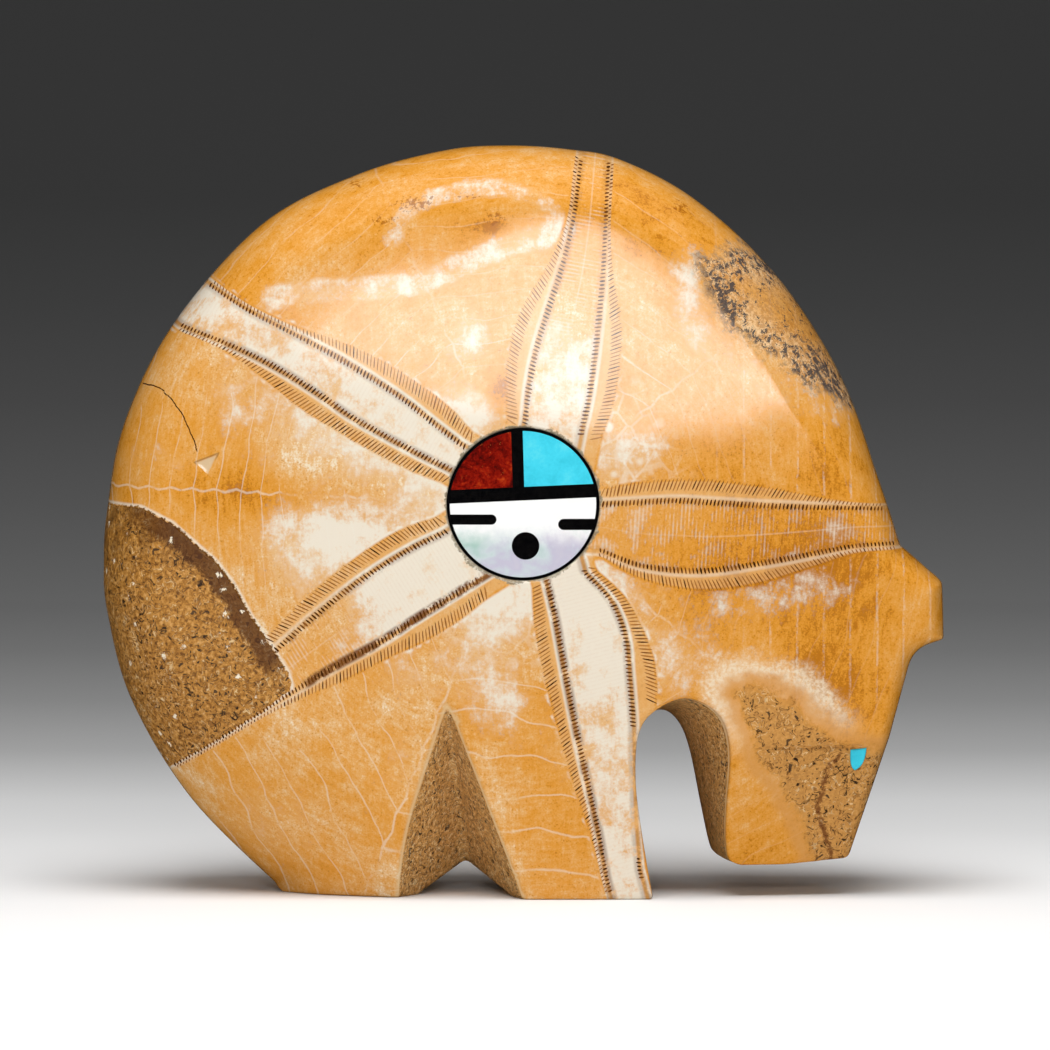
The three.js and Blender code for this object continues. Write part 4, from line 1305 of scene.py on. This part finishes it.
    # Rock on the cheek with a soft orange border, and a pale halo above
    halo = (cheek + mottle * 4.5 + grain * 2).band(-1.5, 2.5) * x.below(32.5, 36.5) * z.above(14, 21)
    halo = halo * 1.7 * (grain + 0.4).most(0.0).least(0.5)
    cheek_rock = paint.mix((vein + grain * 0.9).below(0.12, 0.42) * 0.8, rock_over(0.55, (206, 152, 88)),
                           (104, 58, 30))
    shell = paint.layers(shell, (halo, (236, 220, 192)),
                         ((cheek + mottle * 2).band(-0.2, 1.5) * 0.7, (208, 150, 84)),
                         ((cheek + mottle * 3).above(0.0, 1.4), cheek_rock))

    # Rock in the groove, the arch and under the soles, behind the cut edge of the shell
    cut_rock = paint.layers(rock_over(0.45, (218, 170, 106)),
                            ((grain + dust).above(0.1, 0.2) * 0.6, (240, 216, 170)),
                            ((grain - dust).below(-0.2, -0.1) * 0.55, (84, 54, 28)))
    shell = paint.layers(shell, (depth.band(0.35, 0.35) * 0.7, (232, 206, 160)),
                         (depth.above(0.4, 0.7), cut_rock))

    # Pale chip at the end of the crack, with painted shade along its upper edge, and traces of glue round the
    # disc
    chip_painted_shade = chip.band(0.02, 0.16) * (z - x * 0.3 - 55.6).above(-0.3, 0.3)
    glue = (reach + mottle * 1.6 + grain * 0.7).below(8.05, 8.25) * y.below(-1.0, 0.0)
    glue_shade = paint.mix(grain.above(-0.05, 0.1), (136, 124, 102), (180, 170, 150))
    shell = paint.layers(shell, ((chip + grain * 0.3).above(0.0, 0.25) * 0.8, (214, 192, 158)),
                         (chip_painted_shade * 0.5, (96, 66, 40)), (glue * 0.9, glue_shade))

    rough_rock = rear.above(0, 0.3).most(depth.above(0.5, 0.9))
    relief = grain + rough_rock * (grain + dust) * 3 + mottle * 0.6
    return paint.finish(Base_Color=shell, Roughness=0.1 + grain * 0.05 + rough_rock * 0.2,
                        Normal=paint.bump(relief, 0.012, 0.35))


def pore_material():
    """Dark clay in the pores, from nearly black to tan."""
    paint = Paint("pore_filling", Roughness=0.12, Specular_IOR_Level=0.35)
    shade = Value(paint, paint.attribute("shade", "Fac"))
    return paint.finish(Base_Color=paint.ramp(shade, (0.0, (40, 21, 8)), (0.3, (84, 44, 14)),
                                              (0.6, (136, 82, 34)), (1.0, (190, 128, 62))))


def jet_material():
    """Polished black stone."""
    paint = Paint("jet", Roughness=0.12)
    specks = paint.noise(1.8, 3, 0.6)
    dust = paint.noise(6.0, 2, 0.5)
    black = paint.ramp(specks, (0.35, (4, 4, 5)), (0.7, (14, 13, 13)))
    return paint.finish(Base_Color=black, Roughness=0.03 + dust * 0.06, Normal=paint.bump(dust, 0.004, 0.3))


def turquoise_material():
    """Clear sky blue, slightly clouded."""
    paint = Paint("turquoise", Roughness=0.15)
    cloud = paint.noise(0.5, 4, 0.6)
    grain = paint.noise(4.0, 3, 0.6)
    blue = paint.ramp(cloud + (grain - 0.5) * 0.2, (0.3, (58, 198, 222)),
                      (0.55, (70, 212, 236)), (0.8, (96, 222, 238)))
    return paint.finish(Base_Color=blue, Roughness=0.04 + grain * 0.06, Normal=paint.bump(grain, 0.004, 0.3))


def red_material():
    """Dark red coral or shell, mottled with orange and with a few brown flecks."""
    paint = Paint("red_stone", Roughness=0.14)
    cloud = paint.noise(0.55, 5, 0.65, 0.8)
    grain = paint.noise(3.2, 4, 0.7, 0.6)
    red = paint.ramp(cloud + (grain - 0.5) * 0.6, (0.28, (52, 8, 6)), (0.45, (108, 12, 6)),
                     (0.58, (142, 24, 10)), (0.76, (182, 62, 20)))
    flecks = paint.noise(2.6, 3, 0.6, 1.5).above(0.68, 0.74)
    red = paint.mix(flecks * 0.8, red, (206, 132, 66))
    return paint.finish(Base_Color=red, Roughness=0.04 + grain * 0.06, Normal=paint.bump(grain, 0.006, 0.3))


def pearl_material():
    """Mother-of-pearl: white above, with pale green and lilac bands below."""
    paint = Paint("mother_of_pearl", Roughness=0.16, Coat_Weight=0.4, Coat_Roughness=0.08)
    x, _, z = paint.parts(paint.place)
    drop = (CROWN[1] - z) / INLAY["radius"]
    bands = paint.noise(0.16, 3, 0.5, 0.8)
    silk = paint.noise(0.9, 4, 0.6)
    sheen = paint.ramp(bands + (silk - 0.5) * 0.15 + (x - CROWN[0]) * 0.014,
                       (0.36, (168, 200, 190)), (0.46, (202, 214, 216)),
                       (0.54, (196, 192, 210)), (0.64, (206, 202, 212)),
                       (0.72, (178, 200, 190)))
    face = paint.mix((drop + (silk - 0.5) * 0.25).above(0.25, 0.6), (250, 250, 249), sheen)
    return paint.finish(Base_Color=face, Roughness=0.06 + silk * 0.06, Normal=paint.bump(silk, 0.01, 0.3))


# Pieces

vertices, faces, bake_map, fields = body_mesh()
make_piece("carved_fossil", vertices, faces, shell_material(), "bear_body", fields, bake_map)

# Pores lie on the shell alone: clear of its edge, of the disc and of the bare rock on the rump
pores = np.vstack([petal_pores(petal, seed) for seed, petal in enumerate(PETALS.values())])
places = pores[:, :2]
on_shell = inside(FACE_LOOP, places) & (distance_to(FACE_LOOP, places) > PORE_LIMITS["edge"])
on_shell &= np.hypot(*(places - CROWN).T) >= PORE_LIMITS["disc"]
on_shell &= signed_distance(REAR_PATCH, places) < 0.1
points, faces, shades = slivers(np.vstack([pores[on_shell], crack_slivers()]))
make_piece("pore_fillings", points, faces, pore_material(), attributes={"shade": shades}, smooth=False)

stones = {
    "jet": (jet_material(), ("upright_bar", "crossbar", "rear_slit", "front_slit", "mouth", "rim")),
    "turquoise": (turquoise_material(), ("turquoise_stone",)),
    "red_stone": (red_material(), ("red_stone",)),
    "mother_of_pearl": (pearl_material(), ("shell_face",)),
}
outlines = inlay_loops()
inlay_top = dome(CROWN[0] + INLAY["radius"], CROWN[1]) + CLEARANCE
inlay_floor = HALF - INLAY["depth"] + CLEARANCE
for stone, (material, names) in stones.items():
    for name in names:
        let_in_stone("sun_face_" + name, [loop + CROWN for loop in outlines[name]], material, "inlay_" + name,
                     lambda x, z: np.full_like(x, inlay_top), inlay_floor, STONE_BEVEL["inlay"])

for side, mirror in (("right", False), ("left", True)):
    let_in_stone(side + "_eye_stone", [eye_loop(EYE_MARGIN["stone"])], stones["turquoise"][0], side + "_eye",
                 lambda x, z: carved_height(x, z) + 0.1, eye_floor() - EYE["depth"] + 0.05,
                 STONE_BEVEL["eye"], mirror)


# Floor, lights and camera

CAMERA = {"x": 0.31, "away": 620.0, "height": 62.0, "aim": 38.74, "view": 111.3}
# Tone of the paper, 0 to 255, by millimetres behind the carving along the sweep. Its fall from white to dark
# grey is painted shade, standing in for the light falling away behind the carving
PAPER_WITH_PAINTED_FALLOFF = ((-70, 250), (-31, 247), (-11, 244), (10, 240), (70, 223), (112, 218), (195, 185), (299, 168),
         (432, 161), (609, 166), (698, 130), (746, 108), (785, 94), (820, 83), (878, 81))
PAPER_START, PAPER_SPAN = -100, 1000
# Corners of the softbox as x and z
SOFTBOX_OUTLINE = ((-160, 205), (-60, 258), (19, 296), (72, 288), (112, 215), (165, 166), (225, 104),
                   (98, 92), (0, 108), (-85, 130), (-130, 165))


def backdrop():
    """A sweep of pale paper: flat, then a quarter turn up at the back. Its colour falls with the
    distance behind the carving from white to dark grey, painted shade for the light falling away."""
    reach, flat_end, radius, wall_top = 2500.0, 600.0, 260.0, 1200.0
    y = np.linspace(-reach, flat_end, 100)
    turn = np.linspace(0, math.pi / 2, 40)[1:]
    profile = np.vstack([np.column_stack([y, np.zeros_like(y)]),
                         np.column_stack([flat_end + radius * np.sin(turn), radius * (1 - np.cos(turn))]),
                         [[flat_end + radius, wall_top]]])
    x = np.linspace(-reach, reach, 50)
    grid = np.stack(np.broadcast_arrays(x, profile[:, :1], profile[:, 1:]), axis=2)
    index = np.arange(grid[..., 0].size).reshape(grid.shape[:2])
    quads = np.stack([index[:-1, :-1], index[:-1, 1:], index[1:, 1:], index[1:, :-1]], axis=2)
    mesh = bpy.data.meshes.new("paper_sweep")
    mesh.from_pydata((grid.reshape(-1, 3) * MM).tolist(), [], quads.reshape(-1, 4).tolist())
    mesh.polygons.foreach_set("use_smooth", np.ones(len(mesh.polygons), bool))
    run = np.repeat(run_of(profile) - reach, len(x))
    mesh.attributes.new("run", "FLOAT", "POINT").data.foreach_set("value", run.astype(np.float32))
    paint = Paint("paper_with_painted_falloff", Roughness=0.9, Specular_IOR_Level=0.1)
    # Painted shade: the paper darkens with the distance behind the carving
    distance = (Value(paint, paint.attribute("run", "Fac")) - PAPER_START) / PAPER_SPAN
    tones = [((run - PAPER_START) / PAPER_SPAN, (tone, tone, tone)) for run, tone in PAPER_WITH_PAINTED_FALLOFF]
    mesh.materials.append(paint.finish(Base_Color=paint.ramp(distance, *tones)))
    sweep = placed("paper_sweep", mesh)
    sweep.visible_glossy = False


def area_light(name, place, aim, size, radiance, mirrored=True):
    """A flat light in millimetres that faces the aim, seen in reflections or not. Its power is four
    times its radiance times its area."""
    light = bpy.data.lights.new(name, "AREA")
    light.shape, light.size, light.size_y = "RECTANGLE", size[0] * MM, size[1] * MM
    light.energy = radiance * 4 * light.size * light.size_y
    lamp = placed(name, light)
    lamp.location = [v * MM for v in place]
    lamp.rotation_euler = (Vector(aim) - Vector(place)).to_track_quat("-Z", "Y").to_euler()
    lamp.visible_glossy = mirrored


def softbox(y, radiance):
    """The glowing face of the softbox behind the camera, whose outline shows in the polish."""
    mesh = bpy.data.meshes.new("front_softbox")
    corners = [(x * MM, y * MM, z * MM) for x, z in SOFTBOX_OUTLINE]
    mesh.from_pydata(corners, [], [tuple(range(len(corners)))])
    paint = Paint("softbox_face", Base_Color=(0, 0, 0, 1), Emission_Color=(1, 1, 1, 1),
                  Emission_Strength=radiance)
    mesh.materials.append(paint.material)
    face = placed("front_softbox", mesh)
    face.visible_camera = False


backdrop()
area_light("key_above", (0, -190, 605), (0, 0, 20), (430, 400), 5.5, mirrored=False)
area_light("soft_ceiling", (0, -60, 660), (0, 0, 0), (900, 800), 0.25)
softbox(-700, 10.5)

world = bpy.data.worlds.new("room")
world.use_nodes = True
background = world.node_tree.nodes["Background"]
background.inputs["Color"].default_value = (0.5, 0.5, 0.5, 1)
background.inputs["Strength"].default_value = 0.18
bpy.context.scene.world = world
world.cycles_visibility.glossy = False
bpy.context.scene.view_settings.view_transform = "Standard"

camera = bpy.data.cameras.new("camera")
drop = CAMERA["height"] - CAMERA["aim"]
camera.angle = 2 * math.atan(CAMERA["view"] / 2 / math.hypot(CAMERA["away"], drop))
camera.clip_start, camera.clip_end = 0.01, 10
eye = placed("camera", camera)
eye.location = (CAMERA["x"] * MM, -CAMERA["away"] * MM, CAMERA["height"] * MM)
eye.rotation_euler = (math.pi / 2 - math.atan2(drop, CAMERA["away"]), 0, 0)
bpy.context.scene.camera = eye
